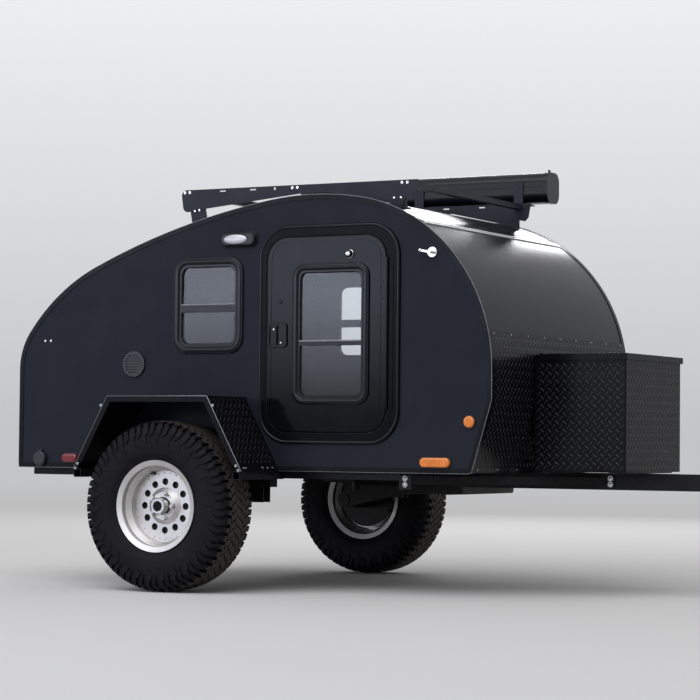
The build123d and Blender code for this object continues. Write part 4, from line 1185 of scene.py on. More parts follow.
@dataclass
class Tyre:
    """A 31 inch all-terrain tyre: carcass, crown blocks, shoulder lugs that wrap down the side, and side rings.

    The section is a line of (radius, width) points from the middle of the tread out to the bead. Every block is a
    grid over the angle round the wheel and the distance along that line, raised along the line's normal. fade_at
    and fade give the share of the tread depth that a block has at a distance from the tread's middle.
    """

    tread_depth: float = 0.0158
    pitches: int = 30
    steps_round: int = 180
    half_width: float = 0.1333
    section: Profile = (
        (0.3700, 0.000), (0.3700, 0.050), (0.3672, 0.085), (0.3600, 0.108), (0.3470, 0.1215), (0.3270, 0.1268),
        (0.2990, 0.1302), (0.2720, 0.1298), (0.2450, 0.1255), (0.2200, 0.1150), (0.2080, 0.1060), (0.1925, 0.1000))
    crown_rows: tuple[BlockRow, ...] = (
        BlockRow(0.0015, 0.033, 0.78, 0.00, 0.62, 0.34, each=2),
        BlockRow(-0.033, -0.0015, 0.78, 0.48, 0.62, 0.34, each=2),
        BlockRow(0.037, 0.068, 0.76, 0.55, -0.45, 0.30, each=2),
        BlockRow(-0.068, -0.037, 0.76, 0.05, -0.45, 0.30, each=2))
    shoulder_rows: tuple[BlockRow, ...] = (
        BlockRow(0.072, 0.186, 0.33, 0.04, 0.10, 0.15, 0.022, 21, steps=1.5),
        BlockRow(0.072, 0.158, 0.25, 0.56, 0.08, 0.14, -0.016, 19, steps=1.0))
    fade_at: tuple[float, ...] = (0.000, 0.095, 0.132, 0.160, 0.190)
    fade: tuple[float, ...] = (1.0, 1.0, 0.62, 0.40, 0.26)
    section_steps: int = 81
    fine_steps: int = 240
    smoothing: int = 12
    ring_places: tuple[float, ...] = (0.200, 0.234, 0.240)
    ring_width: float = 0.0022
    ring_height: float = 0.0016
    wall: float = 0.012
    bead_radius: float = 0.194
    inner_share: float = 0.86
    columns: int = 5
    skirt: float = 0.001
    rim_gap: float = 0.0003

    def line(self, across: np.ndarray) -> tuple[np.ndarray, np.ndarray]:
        """The half section, smoothed by a running mean, at distances from its middle.

        Args:
            across: the distances, negative on the inner side.

        Returns:
            The points as (radius, width) and their outward normals.
        """
        rows = np.array(self.section)
        reach = reach_along(rows)
        fine = np.linspace(0, reach[-1], self.fine_steps)
        smooth = read_line(fine, reach, rows)
        pad = self.smoothing
        kernel = np.hanning(2 * pad + 1)
        kernel /= kernel.sum()
        padded = np.concatenate([smooth[pad:0:-1] * (1, -1), smooth, np.repeat(smooth[-1:], pad, 0)])
        smooth = np.stack([np.convolve(column, kernel, "valid") for column in padded.T], -1)
        slope = unit(np.gradient(smooth, axis=0))
        sides = np.where(across < 0, -1.0, 1.0)
        flip = np.stack([np.ones_like(sides), sides], -1)
        place = np.abs(across)
        return read_line(place, fine, smooth) * flip, read_line(place, fine, slope[:, ::-1] * (1, -1)) * flip

    def total(self) -> float:
        """Length of the half section."""
        return float(reach_along(np.array(self.section))[-1])

    @staticmethod
    def turn(radius: np.ndarray, width: np.ndarray, angle: np.ndarray) -> np.ndarray:
        """Points about the wheel's axle, which lies along Z here: (r cos a, r sin a, width)."""
        return np.stack([radius * np.cos(angle), radius * np.sin(angle), width], -1)

    def carcass(self) -> Form:
        """The casing: its section turned about the axle, closed on the inside by a plain wall.

        A ring on its side is a ridge of the shape exp(-(d / width)^2).

        Returns:
            The casing about an axle along Z.
        """
        half = self.total()
        across = np.linspace(-half, half, self.section_steps)
        at, normal = self.line(across)
        ridges = (np.exp(-((np.abs(across) - place) / self.ring_width) ** 2) for place in self.ring_places)
        rings = sum(ridges) * self.ring_height
        at = at + normal * rings[:, None]
        inner_radius = np.clip(at[::-1, 0] - self.wall, self.bead_radius, None)
        inner = np.stack([inner_radius, at[::-1, 1] * self.inner_share], -1)
        section = np.concatenate([at, inner])
        angle = np.linspace(0, 2 * np.pi, self.steps_round, endpoint=False)
        points = self.turn(section[None, :, 0], section[None, :, 1] + 0 * angle[:, None], angle[:, None])
        form = Form()
        form.add(points.reshape(-1, 3), grid_faces(self.steps_round, len(section), True, True))
        return form.outward()

    def blocks(self, row: BlockRow, side: float = 1.0) -> Form:
        """Every block of one row: top grid raised by the tread depth, inside a skirt that drops to the casing.

        Args:
            row: the row's sizes.
            side: 1 for the outer side, -1 for the inner.

        Returns:
            The row's blocks, each closed by its rim's face.
        """
        low, high = sorted((row.low * side, row.high * side))
        across = np.linspace(low, high, row.rows)
        blocks = self.pitches * row.each
        pitch = 2 * np.pi / blocks
        place = (across - low) / (high - low)
        outer = place if side > 0 else 1 - place
        zigzag = row.notch * np.abs(((place * 2) % 1.0) - 0.5) * 2
        if row.steps:
            zigzag = row.notch * np.clip(np.sin(2 * np.pi * row.steps * outer) * 4, -1, 1)
        start = (row.shift + row.skew * side * (place - 0.5)) * pitch
        share = np.linspace(0, 1, self.columns)
        angle = start[:, None] + row.share * pitch * share[None] + pitch * zigzag[:, None] * 0.5
        across = across[:, None] - side * row.slant * (share[None] - 0.5) * outer[:, None] ** 3
        across = np.pad(across, 1, mode="edge")
        angle = np.pad(angle, 1, mode="edge")
        raised = np.pad(np.ones((row.rows, self.columns)), 1)
        at, normal = self.line(across.ravel())
        fade = np.interp(np.abs(across.ravel()), self.fade_at, self.fade)
        lift = raised.ravel() * (self.tread_depth + self.skirt) * fade - self.skirt
        radius = at[:, 0] + normal[:, 0] * lift
        width = np.clip(at[:, 1] + normal[:, 1] * lift, -self.half_width, self.half_width)
        form = Form()
        turns = np.arange(blocks) * pitch
        points = self.turn(same(radius, blocks), same(width, blocks), angle.ravel()[None] + turns[:, None])
        template = grid_faces(row.rows + 2, self.columns + 2)
        shifts = np.arange(blocks)[:, None] * points.shape[1]
        form.add(points.reshape(-1, 3), (template[None] + shifts[:, :, None]).reshape(-1, 4))
        index = np.arange(points.shape[1]).reshape(row.rows + 2, self.columns + 2)
        rim = np.concatenate([index[0, :], index[1:, -1], index[-1, -2::-1], index[-2:0:-1, 0]])
        form.faces.extend((rim[None] + shifts).tolist())
        return form.outward()

    def whole(self) -> Form:
        """Casing and all rows, about an axle along Z.

        Returns:
            The whole tyre.
        """
        form = self.carcass()
        for row in self.crown_rows:
            form.join(self.blocks(row))
        for row in self.shoulder_rows:
            form.join(self.blocks(row))
            form.join(self.blocks(row, -1.0))
        return form

    def make(self, materials: Materials) -> None:
        """Builds both tyres in place of their solids, held just inside the solids' outer radius.

        Args:
            materials: every material by its name.
        """
        for name, body, side in (("right", Body.WHEEL_RIGHT, -1.0), ("left", Body.WHEEL_LEFT, 1.0)):
            low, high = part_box(f"tyre_{name}")
            form = self.whole()
            points = np.concatenate(form.points)
            limit = (high.z - low.z) / 2 - self.rim_gap
            points[:, :2] *= np.minimum(1.0, limit / np.linalg.norm(points[:, :2], axis=1))[:, None]
            placed = np.stack([points[:, 0], points[:, 2] * side, points[:, 1]], -1) + np.array((low + high) / 2)
            tyre = Form([placed], form.faces, len(placed)).outward()
            piece = tyre.build(f"tyre_tread_{name}", materials["tyre_rubber"], body, "tyre_rubber", 40)
            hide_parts(f"tyre_{name}")


# Small parts

SINK = -0.0004


def on_right(shape: Form, at: np.ndarray) -> Form:
    """Copies of a shape at points of the right-hand side, each standing out of it."""
    form = Form()
    form.repeat(shape, Places.facing(at, (1, 0, 0), (0, -1, 0)))
    return form


@dataclass(frozen=True)
class Screw:
    """A screw or bolt head, domed or six-sided, with a washer where it has one.

    dome and hexagon are profiles of (share of the radius, share of the height).
    """

    radius: float
    height: float
    washer: float = 0.0
    six_sided: bool = False
    dome: Profile = ((0, 0.72), (0.25, 0.74), (0.36, 0.98), (0.62, 0.88), (0.9, 0.5), (1, 0.12))
    hexagon: Profile = ((0, 1), (0.82, 1), (0.96, 0.86), (1, 0.7))
    washer_height: float = 0.0016
    washer_edge: float = 0.0010
    washer_top: float = 0.94

    def form(self) -> Form:
        """The head, standing on Z = 0.

        Returns:
            The head and its washer, each a closed form that reaches a little under Z = 0.
        """
        shares, turns = (self.hexagon, 6) if self.six_sided else (self.dome, 14)
        profile = [(self.radius * across, self.height * up) for across, up in shares]
        shape = lathe([*profile, (self.radius, SINK), (0, SINK)], turns)
        if self.washer:
            rim, top = self.washer, self.washer_height
            shape.join(lathe([(0, top), (rim * self.washer_top, top), (rim, self.washer_edge), (rim, SINK),
                              (0, SINK)], 20))
        return shape

    def on_side(self, rows: Rows) -> Form:
        """Heads at rows of millimetres on the right-hand side."""
        return on_right(self.form(), spots(rows))


@dataclass
class Fasteners:
    """Screws, bolts and rivets; rows are millimetres from the ground under the axle, on the right-hand side."""

    frame_screw: Screw = Screw(0.0040, 0.0020)
    lip_bolt: Screw = Screw(0.0046, 0.0030, 0.0070, True)
    slope_bolt: Screw = Screw(0.0040, 0.0026, 0.0060)
    body_screw: Screw = Screw(0.0065, 0.003)
    brace_bolt: Screw = Screw(0.0095, 0.007, 0.0125)
    rack_bolt: Screw = Screw(0.0046, 0.0028, 0.0066)
    foot_bolt: Screw = Screw(0.0032, 0.0020, 0.0045)
    hinge_rivet: Screw = Screw(0.0032, 0.0014)
    guard_screw: Screw = Screw(0.0048, 0.0026)
    door_frame_radius: float = 0.150
    door_screws: int = 18
    door_flange_middle: float = 0.011
    door_flange_face: float = -0.7738
    door_flange_band: float = 0.003
    fender_lip: Rows = ((425, -1095, 575), (438, -1095, 554), (-425, -1095, 575), (-438, -1095, 554),
                        (300, -1095, 842), (-300, -1095, 842))
    slope_rows: tuple[float, ...] = (-1060, -1039, -895, -852, -807)
    slope_rise: float = 0.016
    body_screws: Rows = ((-857, -764, 1155), (-824, -764, 1155))
    brace_bolts: Rows = ((1072, -718, 498), (1072, -718, 525), (1770, -44, 503), (1770, -44, 530))
    rack_pairs: tuple[float, ...] = (-157.0, 430.0, 1001.0)
    rack_pitch: float = 27.0
    rack_bolt_z: float = 1855.0
    rack_face: float = -608.5
    foot_bolts: Rows = ((-114, -608.5, 1766), (-89, -608.5, 1770), (948, -608.5, 1788), (983, -608.5, 1788))
    hinge_rivets: int = 9
    hinge_margin: float = 135.0
    frame_leaf: tuple[float, float] = (1024.0, -776.7)
    door_leaf: tuple[float, float] = (989.0, -780.0)
    nose_screws: int = 8
    guard_top_screws: int = 9
    guard_edge: float = 0.013
    guard_margin: float = 0.03
    guard_step: float = 0.006

    def door_frames(self) -> Form:
        """Pan-head screws evenly spaced round each door frame's flange.

        Returns:
            The screws of both frames.
        """
        points = right_hand("door_frames")
        flange = float(np.median(points[points[:, 2] > points[:, 2].max() - self.door_flange_band][:, 1]))
        loop = RoundedLoop.round_box("door_frames", self.door_frame_radius, self.door_flange_middle)
        ring = loop.spaced(self.door_screws)
        at = np.insert(ring, 1, min(flange, self.door_flange_face), axis=1)
        return on_right(self.frame_screw.form(), at).both_sides()

    def fenders(self) -> Form:
        """Bolts on the fenders' lips and along the foot of each front and rear slope.

        Returns:
            The bolts of both fenders.
        """
        form = self.lip_bolt.on_side(self.fender_lip)
        shape = FenderShape.measured()
        down = unit(shape.slope())
        for turn, end in ((1.0, shape.high[0]), (-1.0, shape.low[0])):
            at = [(end - turn * down[0] * self.slope_rise, y / 1000, shape.low[2] - down[2] * self.slope_rise)
                  for y in self.slope_rows]
            out = (turn * -down[2], 0.0, down[0])
            form.repeat(self.slope_bolt.form(), Places.facing(np.array(at), (0, 1, 0), out))
        return form.both_sides()

    def rack(self) -> Form:
        """Pairs of bolts through each rack plate into the bars, and the bolts of the feet.

        Returns:
            The bolts of both plates.
        """
        pairs = [(middle + turn * self.rack_pitch / 2, self.rack_face, self.rack_bolt_z)
                 for middle in self.rack_pairs for turn in (-1, 1)]
        form = self.rack_bolt.on_side(pairs).both_sides()
        form.join(self.foot_bolt.on_side(self.foot_bolts).both_sides())
        return form

    def hinge(self, leaf: tuple[float, float]) -> Form:
        """Rivets down one leaf of the right door's hinge.

        Args:
            leaf: the leaf's x and the y of its face, in millimetres.

        Returns:
            The rivets.
        """
        low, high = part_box("door_right")
        levels = np.linspace(low.z * 1000 + self.hinge_margin, high.z * 1000 - self.hinge_margin, self.hinge_rivets)
        return self.hinge_rivet.on_side([(*leaf, level) for level in levels])

    def nose(self) -> Form:
        """Screws along the top and bottom edges of the nose guard, on the surface that rays find there.

        Returns:
            The screws, each square to the plate under it.
        """
        low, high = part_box("nose_guard")
        form = Form()
        for level, count in ((high.z - self.guard_edge, self.guard_top_screws),
                             (low.z + self.guard_edge, self.nose_screws)):
            across = np.linspace(low.y + self.guard_margin, high.y - self.guard_margin, count)
            starts = np.stack([np.full(count, high.x + 0.5), across, np.full(count, level)], -1)
            at = surface_hits("nose_guard", starts, (-1, 0, 0))
            above = surface_hits("nose_guard", starts[:1] + np.array([0, 0, self.guard_step]), (-1, 0, 0))
            out = np.cross((0.0, 1.0, 0.0), unit(above[0] - at[0]))
            facing = Places.facing(at, (0, 1, 0), tuple(out if out[0] > 0 else -out))
            form.repeat(self.guard_screw.form(), facing)
        return form

    def make(self, materials: Materials) -> None:
        """Builds each set of screws.

        Args:
            materials: every material by its name.
        """
        body_screws = self.body_screw.on_side(self.body_screws).both_sides()
        brace_bolts = self.brace_bolt.on_side(self.brace_bolts).both_sides()
        for name, form, finish in (("door_frame_screws", self.door_frames(), "dull_screw"),
                                   ("fender_bolts", self.fenders(), "dull_screw"),
                                   ("rack_bolts", self.rack(), "bright_metal"),
                                   ("rear_side_screws", body_screws, "bright_metal"),
                                   ("brace_bolts", brace_bolts, "bright_metal"),
                                   ("nose_guard_screws", self.nose(), "dull_screw")):
            form.build(name, materials[finish], Body.TRAILER, "bright_metal")
        black = materials["frame_black"]
        self.hinge(self.frame_leaf).both_sides().build("hinge_frame_rivets", black, Body.TRAILER, "frame_black")
        self.hinge(self.door_leaf).pair("hinge_leaf_rivets", black, DOORS, "frame_black")


@dataclass
class DoorDetails:
    """Each door's bright knob and lock, latch screws, window trims and the seal in its frame.

    A bezel is its node, corner radius, inset, y and half sizes, and a strip its ends' x, its z and its face's y
    in millimetres.
    """

    leaf_x: tuple[float, float] = (389.0, 1001.0)
    leaf_z: tuple[float, float] = (727.0, 1611.0)
    leaf_radius: float = 104.0
    leaf_face: float = -778.0
    seal_grow: float = 4.3
    seal_y: float = -0.7625
    seal_half: tuple[float, float] = (0.0023, 0.0085)
    seal_crown: float = 0.0012
    knob: tuple[float, float] = (816.0, 1526.0)
    knob_cap: Profile = ((0, 0.0216), (0.006, 0.0214), (0.0105, 0.0205), (0.0112, 0.0196), (0.0146, 0.0186),
                         (0.0168, 0.0150), (0.0176, 0.0090), (0.0176, 0.0030), (0.0188, 0.0024), (0.0188, 0.0),
                         (0, 0.0))
    lock: tuple[float, float] = (459.0, 1317.0)
    lock_face: Profile = ((0, 0.0022), (0.0045, 0.0022), (0.0050, 0.0030), (0.0088, 0.0028), (0.0095, 0.0018),
                          (0.0095, 0.0), (0, 0.0))
    latch_screws: Rows = ((431, -789.0, 1191), (463, -780.0, 1130))
    latch_screw: Screw = Screw(0.0058, 0.0042)
    glass_radius: float = 0.034
    side_glass_radius: float = 0.0438
    gasket_inset: float = 0.0018
    gasket_bead: float = 0.0026
    gasket_lift: float = 0.0004
    door_bezel: Bezel = ("door_window_right", 0.062, 0.0170, -0.7858, (0.0140, 0.0058))
    frame_lip: Bezel = ("door_frames", 0.150, 0.0085, -0.7728, (0.0070, 0.0055))
    side_bezel: Bezel = ("side_window_frames", 0.075, 0.0185, -0.7718, (0.0150, 0.0058))
    door_strip: Strip = (564.0, 879.0, 1141.0, -784.0)
    side_strip: Strip = (-80.0, 211.0, 1317.0, -770.0)
    strip_drop: float = 4.0
    strip_half: tuple[float, float] = (0.004, 0.0022)

    def seal(self) -> Form:
        """The rubber that fills most of the gap round a closed leaf: a rounded section carried round the opening.

        Returns:
            The right door's seal.
        """
        (half, deep), shoulder = self.seal_half, self.seal_half[1] - self.seal_crown
        section = np.array([(-half, -deep), (half, -deep), (half, shoulder), (half * 0.5, deep), (-half * 0.5, deep),
                            (-half, shoulder)])
        grow = self.seal_grow
        low, high = spots([(self.leaf_x[0] - grow, 0, self.leaf_z[0] - grow),
                           (self.leaf_x[1] + grow, 0, self.leaf_z[1] + grow)])
        loop = RoundedLoop((low[0], low[2]), (high[0], high[2]), (self.leaf_radius + grow) / 1000)
        return loop.tube(self.seal_y, section * (1.0, -1.0))

    def gasket(self, node: str, radius: float) -> Form:
        """A thin round bead on a pane's outer face, along its edge."""
        loop = RoundedLoop.round_box(node, radius, self.gasket_inset)
        return loop.tube(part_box(node)[0].y - self.gasket_lift, circle(self.gasket_bead, 8))

    @staticmethod
    def bezel(node: str, radius: float, inset: float, y: float, half: tuple[float, float]) -> Form:
        """A convex band along a frame's face: a flat oval carried round the frame's outline."""
        return RoundedLoop.round_box(node, radius, inset).tube(y, circle(1.0, 14) * half)

    def on_leaf(self, place: tuple[float, float], profile: Profile, turns: int) -> Form:
        """A turned piece at an (x, z) of the right door's face, in millimetres."""
        return on_right(lathe(profile, turns), spots([(place[0], self.leaf_face, place[1])]))

    def strip(self, row: Strip) -> Form:
        """A painted highlight along the top of a window's cross bar: a pale half-round bead.

        Args:
            row: the bar's strip, as the class says.

        Returns:
            The bead on the right-hand side.
        """
        x0, x1, z, face = row
        path = spots([(x0, face, z - self.strip_drop), (x1, face, z - self.strip_drop)])
        angle = np.linspace(0, np.pi, 7)
        section = np.stack([self.strip_half[0] * np.cos(angle), -self.strip_half[1] * np.sin(angle)], -1)
        return sweep(path, same((0.0, 0.0, 1.0), 2), same((0.0, 1.0, 0.0), 2), section, False)

    def make(self, materials: Materials) -> None:
        """Builds the pieces of both doors and both side windows.

        Args:
            materials: every material by its name.
        """
        for name, form, finish, slot in (
                ("door_knob_cap", self.on_leaf(self.knob, self.knob_cap, 32), "bright_metal", "bright_metal"),
                ("door_window_bezel", self.bezel(*self.door_bezel), "frame_black", "frame_black"),
                ("door_lock_ring", self.on_leaf(self.lock, self.lock_face, 24), "latch_black", "latch_black"),
                ("door_latch_screws", self.latch_screw.on_side(self.latch_screws), "bright_metal", "bright_metal"),
                ("door_gasket", self.gasket("door_glass_right", self.glass_radius), "seal_rubber", "tyre_rubber"),
                # door bar strip: a painted highlight on the top edge of the door window's bar
                ("door_bar_highlight_strip", self.strip(self.door_strip), "edge_moulding", "edge_moulding")):
            form.pair(name, materials[finish], DOORS, slot)
        side_gasket = self.gasket("side_window_glass", self.side_glass_radius)
        for name, form, finish, slot in (
                ("door_seals", self.seal(), "seal_rubber", "tyre_rubber"),
                ("door_frame_lips", self.bezel(*self.frame_lip), "frame_black", "frame_black"),
                ("side_window_bezels", self.bezel(*self.side_bezel), "frame_black", "frame_black"),
                ("side_window_gaskets", side_gasket, "seal_rubber", "tyre_rubber"),
                # side window strips: painted highlights on the top edges of the side windows' bars
                ("side_window_highlight_strips", self.strip(self.side_strip), "edge_moulding", "edge_moulding")):
            form.both_sides().build(name, materials[finish], Body.TRAILER, slot)


@dataclass
class WheelDetails:
    """Rivets round each rim's disc, the drum's face, the tyre valve and the hub cap's dark centre.

    Faces are millimetres out from mid width; a valve's place is its radius in millimetres and its angle.
    """

    disc_face: float = 1010.0
    cap_face: float = 1074.0
    drum_face: float = 994.0
    rivet_circle: float = 150.0
    rivets: int = 30
    rivet_start: float = 7.5
    rivet: Profile = ((0, 0.0036), (0.0016, 0.0034), (0.0030, 0.0022), (0.0037, 0.0), (0, SINK))
    valve: tuple[float, float] = (157.0, 112.0)
    stem: Profile = ((0, 0.034), (0.0030, 0.034), (0.0036, 0.032), (0.0036, 0.022), (0.0030, 0.021), (0.0040, 0.014),
                     (0.0056, 0.004), (0.0070, 0.0), (0, SINK))
    cap: Profile = ((0, 0.0004), (0.0150, 0.0005), (0.0215, 0.0009), (0.0232, 0.0007), (0.0240, -0.0006), (0, -0.0006))
    drum: Profile = ((0.0765, 0.0008), (0.1455, 0.0008), (0.1470, 0.0002), (0.1470, -0.0010), (0.0765, -0.0010),
                     (0.0765, 0.0008))

    @staticmethod
    def about(radius: float, degrees: np.ndarray, out: float) -> np.ndarray:
        """Points round the right wheel's axle, in metres.

        Args:
            radius: their distance from the axle in millimetres.
            degrees: their angles.
            out: their distance from mid width in millimetres.

        Returns:
            The points, shape (n, 3).
        """
        angle = np.radians(degrees)
        height = AXLE_HEIGHT * 1000 + radius * np.sin(angle)
        return spots(np.stack([radius * np.cos(angle), np.full_like(angle, -out), height], -1))

    def make(self, materials: Materials) -> None:
        """Builds the pieces of both wheels.

        Args:
            materials: every material by its name.
        """
        ring = self.about(self.rivet_circle, np.arange(self.rivets) * 360 / self.rivets + self.rivet_start,
                          self.disc_face)
        valve_place = self.about(self.valve[0], np.array([self.valve[1]]), self.disc_face)
        drum_place, cap_place = (self.about(0.0, np.zeros(1), face) for face in (self.drum_face, self.cap_face))
        for name, profile, turns, places, finish, slot in (
                ("rim_rivets", self.rivet, 10, ring, "wheel_alloy", "wheel_alloy"),
                ("drum_front", self.drum, 60, drum_place, "chassis_black", "hub_steel"),
                ("tyre_valve", self.stem, 14, valve_place, "seal_rubber", "tyre_rubber"),
                ("hub_cap_centre", self.cap, 40, cap_place, "latch_black", "latch_black")):
            on_right(lathe(profile, turns), places).pair(name, materials[finish], WHEELS, slot)


@dataclass
class Trims:
    """Bright beads that are painted highlights along the fenders' edges and the sides' outline, the mouldings across
    the roof seam and the lamps' rims.

    A seam moulding is its x in millimetres, half its width and its height.
    """

    bead_seat: float = 0.0012
    fender_bead: float = 0.0019
    fender_bead_drop: float = 0.0010
    seams: Rows = ((1150.0, 0.007, 0.0032), (1165.0, 0.005, 0.0030))
    seam_half: float = 0.735
    seam_seat: float = 0.0003
    above_roof: float = 2200.0
    porch_radius: float = 0.032
    porch_rim_y: float = -0.7700
    porch_rim: float = 0.0028
    lens: tuple[float, float, float] = (219.0, -788.0, 1609.0)
    lens_dome: Profile = ((0, 0.0046), (0.008, 0.0042), (0.015, 0.0030), (0.0195, 0.0014), (0.0210, 0.0),
                          (0.0210, -0.0008), (0, -0.0008))
    lens_stretch: float = 2.9
    outline_steps: int = 720
    outline_ray: float = 3.0
    outline_bead: float = 0.0013
    outline_inset: float = 0.0006

    def fender_edge_highlights(self) -> Form:
        """A bright bead along each fender's outer edge, over its two slopes and its top: a painted highlight, partly
        the edge's worn shine.

        Returns:
            The beads of both fenders.
        """
        shape = FenderShape.measured()
        low, high = shape.low, shape.high
        x = np.array([low[0], shape.middle - shape.top_half, shape.middle + shape.top_half, high[0]])
        z = np.array([low[2], high[2], high[2], low[2]]) - self.fender_bead_drop
        path = np.stack([x, np.full(4, low[1] + self.bead_seat), z], -1)
        run = unit(np.diff(path, axis=0))
        normals = np.cross(run, (0.0, 1.0, 0.0)) * -1
        side = unit(np.stack([normals[0], normals[0] + normals[1], normals[1] + normals[2], normals[2]]))
        return sweep(path, side, same((0.0, 1.0, 0.0), 4), circle(self.fender_bead, 8), False).both_sides()

    def roof_seam(self) -> Form:
        """Two bright half-round mouldings along the roof's front seam, seated on the strip that rays find there.

        Returns:
            The mouldings, right across the roof.
        """
        form = Form()
        angle = np.linspace(0, np.pi, 9)
        for x, width, height in self.seams:
            starts = spots([(x - 2, 0, self.above_roof), (x + 2, 0, self.above_roof)])
            hits = surface_hits("roof_panel", starts, (0, 0, -1))
            along = unit(hits[1] - hits[0])
            out = np.array([-along[2], 0.0, along[0]])
            section = np.stack([width * np.cos(angle), height * np.sin(angle) - self.seam_seat], -1)
            path = np.stack([hits.mean(0) + np.array([0, y, 0]) for y in (-self.seam_half, self.seam_half)])
            form.join(sweep(path, same(along, 2), same(out, 2), section, False))
        return form

    def outline_highlight_beads(self) -> Form:
        """A thin bright bead round each side's edge moulding, a painted highlight on its outer line: rays from all
        round find the moulding's outer line.

        Returns:
            The beads of both sides.
        """
        low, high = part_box("edge_trims")
        centre = np.array([(low.x + high.x) / 2, 0.0, (low.z + high.z) / 2])
        angle = np.linspace(0, 2 * np.pi, self.outline_steps, endpoint=False)
        ray = np.stack([np.cos(angle), 0 * angle, np.sin(angle)], -1)
        starts = centre + self.outline_ray * ray + np.array([0.0, low.y + self.bead_seat, 0.0])
        path = surface_hits("edge_trims", starts, -ray)
        side = np.cross(unit(np.roll(path, -1, 0) - np.roll(path, 1, 0)), (0.0, 1.0, 0.0))
        path[:, 1] = low.y
        up = same((0.0, 1.0, 0.0), len(path))
        return sweep(path - side * self.outline_inset, side, up, circle(self.outline_bead, 6), True).both_sides()

    def porch_rims(self) -> Form:
        """A rim round each porch light's lens."""
        loop = RoundedLoop.round_box("porch_lights", self.porch_radius)
        return loop.tube(self.porch_rim_y, circle(self.porch_rim, 8)).both_sides()

    def porch_lenses(self) -> Form:
        """The pale lens on each porch light's black case: a shallow dome, stretched along X.

        Returns:
            Both lenses.
        """
        dome = lathe(self.lens_dome, 40)
        dome.points = [points * (self.lens_stretch, 1.0, 1.0) for points in dome.points]
        return on_right(dome, spots([self.lens])).both_sides()

    def make(self, materials: Materials) -> None:
        """Builds the trims.

        Args:
            materials: every material by its name.
        """
        for name, form, finish, slot in (
                # fender edge beads: painted highlights, partly the edges' worn shine
                ("fender_edge_highlight_beads", self.fender_edge_highlights(), "edge_moulding", "edge_moulding"),
                ("roof_seam_mouldings", self.roof_seam(), "bright_metal", "bright_metal"),
                ("porch_light_rims", self.porch_rims(), "frame_black", "frame_black"),
                ("porch_light_lenses", self.porch_lenses(), "porch_lens", "bright_metal"),
                # side outline beads: painted highlight lines along each side's edge
                ("side_outline_highlight_beads", self.outline_highlight_beads(), "edge_moulding", "edge_moulding")):
            form.build(name, materials[finish], Body.TRAILER, slot)


# Camera, light and floor

@dataclass(frozen=True)
class PhotoCamera:
    """The camera at the photograph's viewing angle: place in metres, angles in degrees, lens in mm."""

    place: Triple = (5.1219, -10.2879, 0.6931)
    yaw: float = 28.83
    pitch: float = 2.12
    roll: float = 0.53
    lens: float = 125.16
    sensor: float = 36.0

    def make(self) -> None:
        """Adds the camera. It looks along (-sin yaw cos pitch, cos yaw cos pitch, sin pitch)."""
        yaw, pitch, roll = (math.radians(value) for value in (self.yaw, self.pitch, self.roll))
        forward = Vector((-math.sin(yaw) * math.cos(pitch), math.cos(yaw) * math.cos(pitch), math.sin(pitch)))
        right = Vector((math.cos(yaw), math.sin(yaw), 0.0))
        up = right.cross(forward)
        across = math.cos(roll) * right + math.sin(roll) * up
        above = math.cos(roll) * up - math.sin(roll) * right
        data = bpy.data.cameras.new("photo_camera")
        data.lens = self.lens
        data.sensor_width = self.sensor
        data.clip_start = 0.1
        data.clip_end = 500.0
        camera = bpy.data.objects.new("photo_camera", data)
        turn = Matrix((across, above, -forward)).transposed().to_4x4()
        camera.matrix_world = Matrix.Translation(self.place) @ turn
        bpy.context.scene.collection.objects.link(camera)
        bpy.context.scene.camera = camera


@dataclass(frozen=True)
class SoftBox:
    """A rectangular lamp that no camera sees: its place, the point it faces, its size in metres and its brightness."""

    name: str
    place: Triple
    aim: Triple
    size: tuple[float, float]
    radiance: Colour
    fade: float = 0.0

    def make(self) -> None:
        """Adds the lamp: its power is radiance times pi times its area, and it dims over the fade's share of it."""
        lamp = bpy.data.lights.new(self.name, "AREA")
        lamp.shape = "RECTANGLE"
        lamp.size, lamp.size_y = self.size
        peak = max(self.radiance)
        lamp.energy = peak * math.pi * self.size[0] * self.size[1]
        lamp.color = tuple(value / peak for value in self.radiance)
        if self.fade:
            lamp.use_nodes = True
            graph = Graph(lamp.node_tree)
            rise = graph.add("SeparateXYZ", {0: graph.add("NewGeometry").outputs["Parametric"]}).outputs["Y"]
            glow = graph.add("Emission", {"Strength": graph.span(rise, 0.0, self.fade)})
            graph.add("OutputLight", {"Surface": glow.outputs[0]})
        holder = bpy.data.objects.new(self.name, lamp)
        turn = (Vector(self.aim) - Vector(self.place)).to_track_quat("-Z", "Y").to_matrix().to_4x4()
        holder.matrix_world = Matrix.Translation(self.place) @ turn
        holder.visible_camera = False
        bpy.context.scene.collection.objects.link(holder)


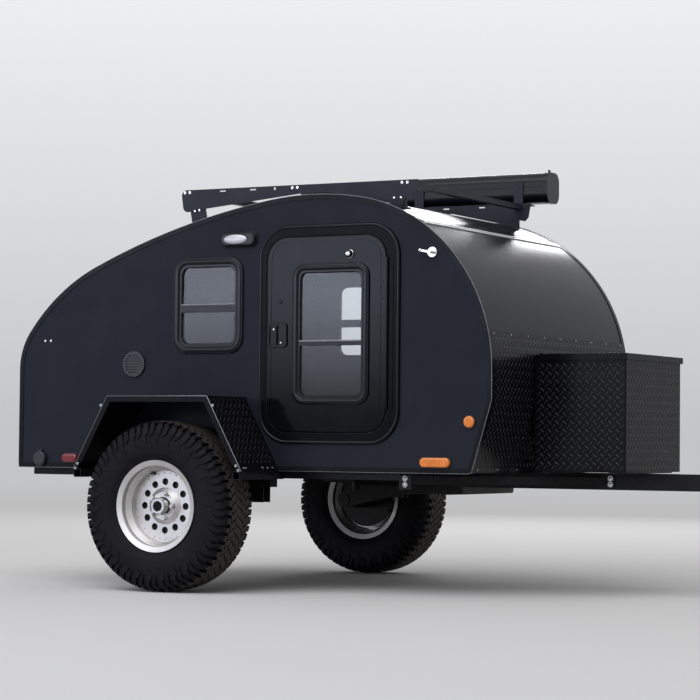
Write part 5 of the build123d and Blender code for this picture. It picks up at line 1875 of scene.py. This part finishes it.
@dataclass(frozen=True)
class Studio:
    """Pale floor, pale surroundings, one broad soft lamp from above and three soft boxes round the trailer."""

    backdrop: Colour = (0.87, 0.88, 0.90)
    horizon: Colour = (0.55, 0.555, 0.57)
    horizon_band: tuple[float, float] = (0.005, 0.19)
    fill: float = 0.60
    floor: Colour = (0.60, 0.59, 0.58)
    floor_radius: float = 60.0
    floor_sides: int = 96
    blend_from: float = 7.0
    blend_to: float = 26.0
    lamp_strength: float = 1.25
    lamp_angle: float = 64.0
    lamp_turn: Triple = (38.0, -12.0, 20.0)
    boxes: tuple[SoftBox, ...] = (
        SoftBox("side_box", (-6.2, -10.4, 2.0), (0.0, -0.7, 1.7), (9.0, 2.2), (3.6, 3.9, 4.8), 0.5),
        SoftBox("top_box", (-1.0, -7.0, 6.5), (0.3, 0.0, 1.4), (8.0, 3.0), (2.5, 2.6, 2.9)),
        SoftBox("rear_box", (-3.7, 9.5, 5.1), (0.0, 0.0, 1.6), (4.4, 1.3), (11.0, 11.0, 11.4)))

    def make(self) -> None:
        """Builds the world, the lamps and the floor."""
        self.world()
        lamp = bpy.data.lights.new("broad_lamp", "SUN")
        lamp.energy = self.lamp_strength
        lamp.angle = math.radians(self.lamp_angle)
        holder = bpy.data.objects.new("broad_lamp", lamp)
        holder.rotation_euler = tuple(math.radians(value) for value in self.lamp_turn)
        bpy.context.scene.collection.objects.link(holder)
        for box in self.boxes:
            box.make()
        self.floor_disc()

    def world(self) -> None:
        """Even fill light, with the pale backdrop, a little deeper at the horizon, for camera, mirrors and glass."""
        world = bpy.data.worlds.new("surroundings")
        bpy.context.scene.world = world
        world.use_nodes = True
        graph = Graph(world.node_tree)
        path = graph.add("LightPath")
        seen = graph.maths("MAXIMUM", path.outputs["Is Camera Ray"],
                           graph.maths("MAXIMUM", path.outputs["Is Glossy Ray"], path.outputs["Is Transmission Ray"]))
        strength = graph.span(seen, 0.0, 1.0, self.fill, 1.0)
        rise = graph.add("SeparateXYZ", {0: graph.add("TexCoord").outputs["Generated"]}).outputs["Z"]
        tone = graph.blend(graph.span(rise, *self.horizon_band), self.horizon, self.backdrop)
        back = graph.add("Background", {"Color": tone, "Strength": strength})
        graph.add("OutputWorld", {"Surface": back.outputs[0]})

    def floor_disc(self) -> None:
        """A round floor whose far edge takes on the backdrop's tone."""
        material, graph = new_material("studio_floor")
        far = graph.vector("LENGTH", graph.place(), output="Value")
        share = graph.span(far, self.blend_from, self.blend_to)
        speckle = graph.span(graph.noise(60.0, 6.0, 0.5), *NOISE_BAND)
        tone = graph.blend(speckle, shaded(self.floor, 0.97), self.floor)
        near = graph.add("BsdfDiffuse", {"Color": tone})
        away = graph.add("Emission", {"Color": (*self.horizon, 1.0), "Strength": 1.0})
        mixed = graph.add("MixShader", {0: share, 1: near.outputs[0], 2: away.outputs[0]})
        graph.add("OutputMaterial", {"Surface": mixed.outputs[0]})
        ring = np.insert(circle(self.floor_radius, self.floor_sides), 2, 0.0, axis=1)
        mesh = bpy.data.meshes.new("studio_floor")
        mesh.from_pydata(ring.tolist(), [], [list(range(self.floor_sides))])
        mesh.materials.append(material)
        floor = bpy.data.objects.new("studio_floor", mesh)
        bpy.context.scene.collection.objects.link(floor)


def main() -> None:
    """Dresses the frame and sets the studio round it."""
    logging.basicConfig(level=logging.INFO, format="%(name)s: %(message)s")
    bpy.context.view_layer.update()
    bpy.context.scene.view_settings.view_transform = "Standard"
    materials = all_finishes(Effects())
    dress_solids(materials)
    for assembly in (TreadSheets(), Tyre(), Fasteners(), DoorDetails(), WheelDetails(), Trims()):
        assembly.make(materials)
    PhotoCamera().make()
    Studio().make()


if __name__ == "__main__":
    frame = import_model()
    main()
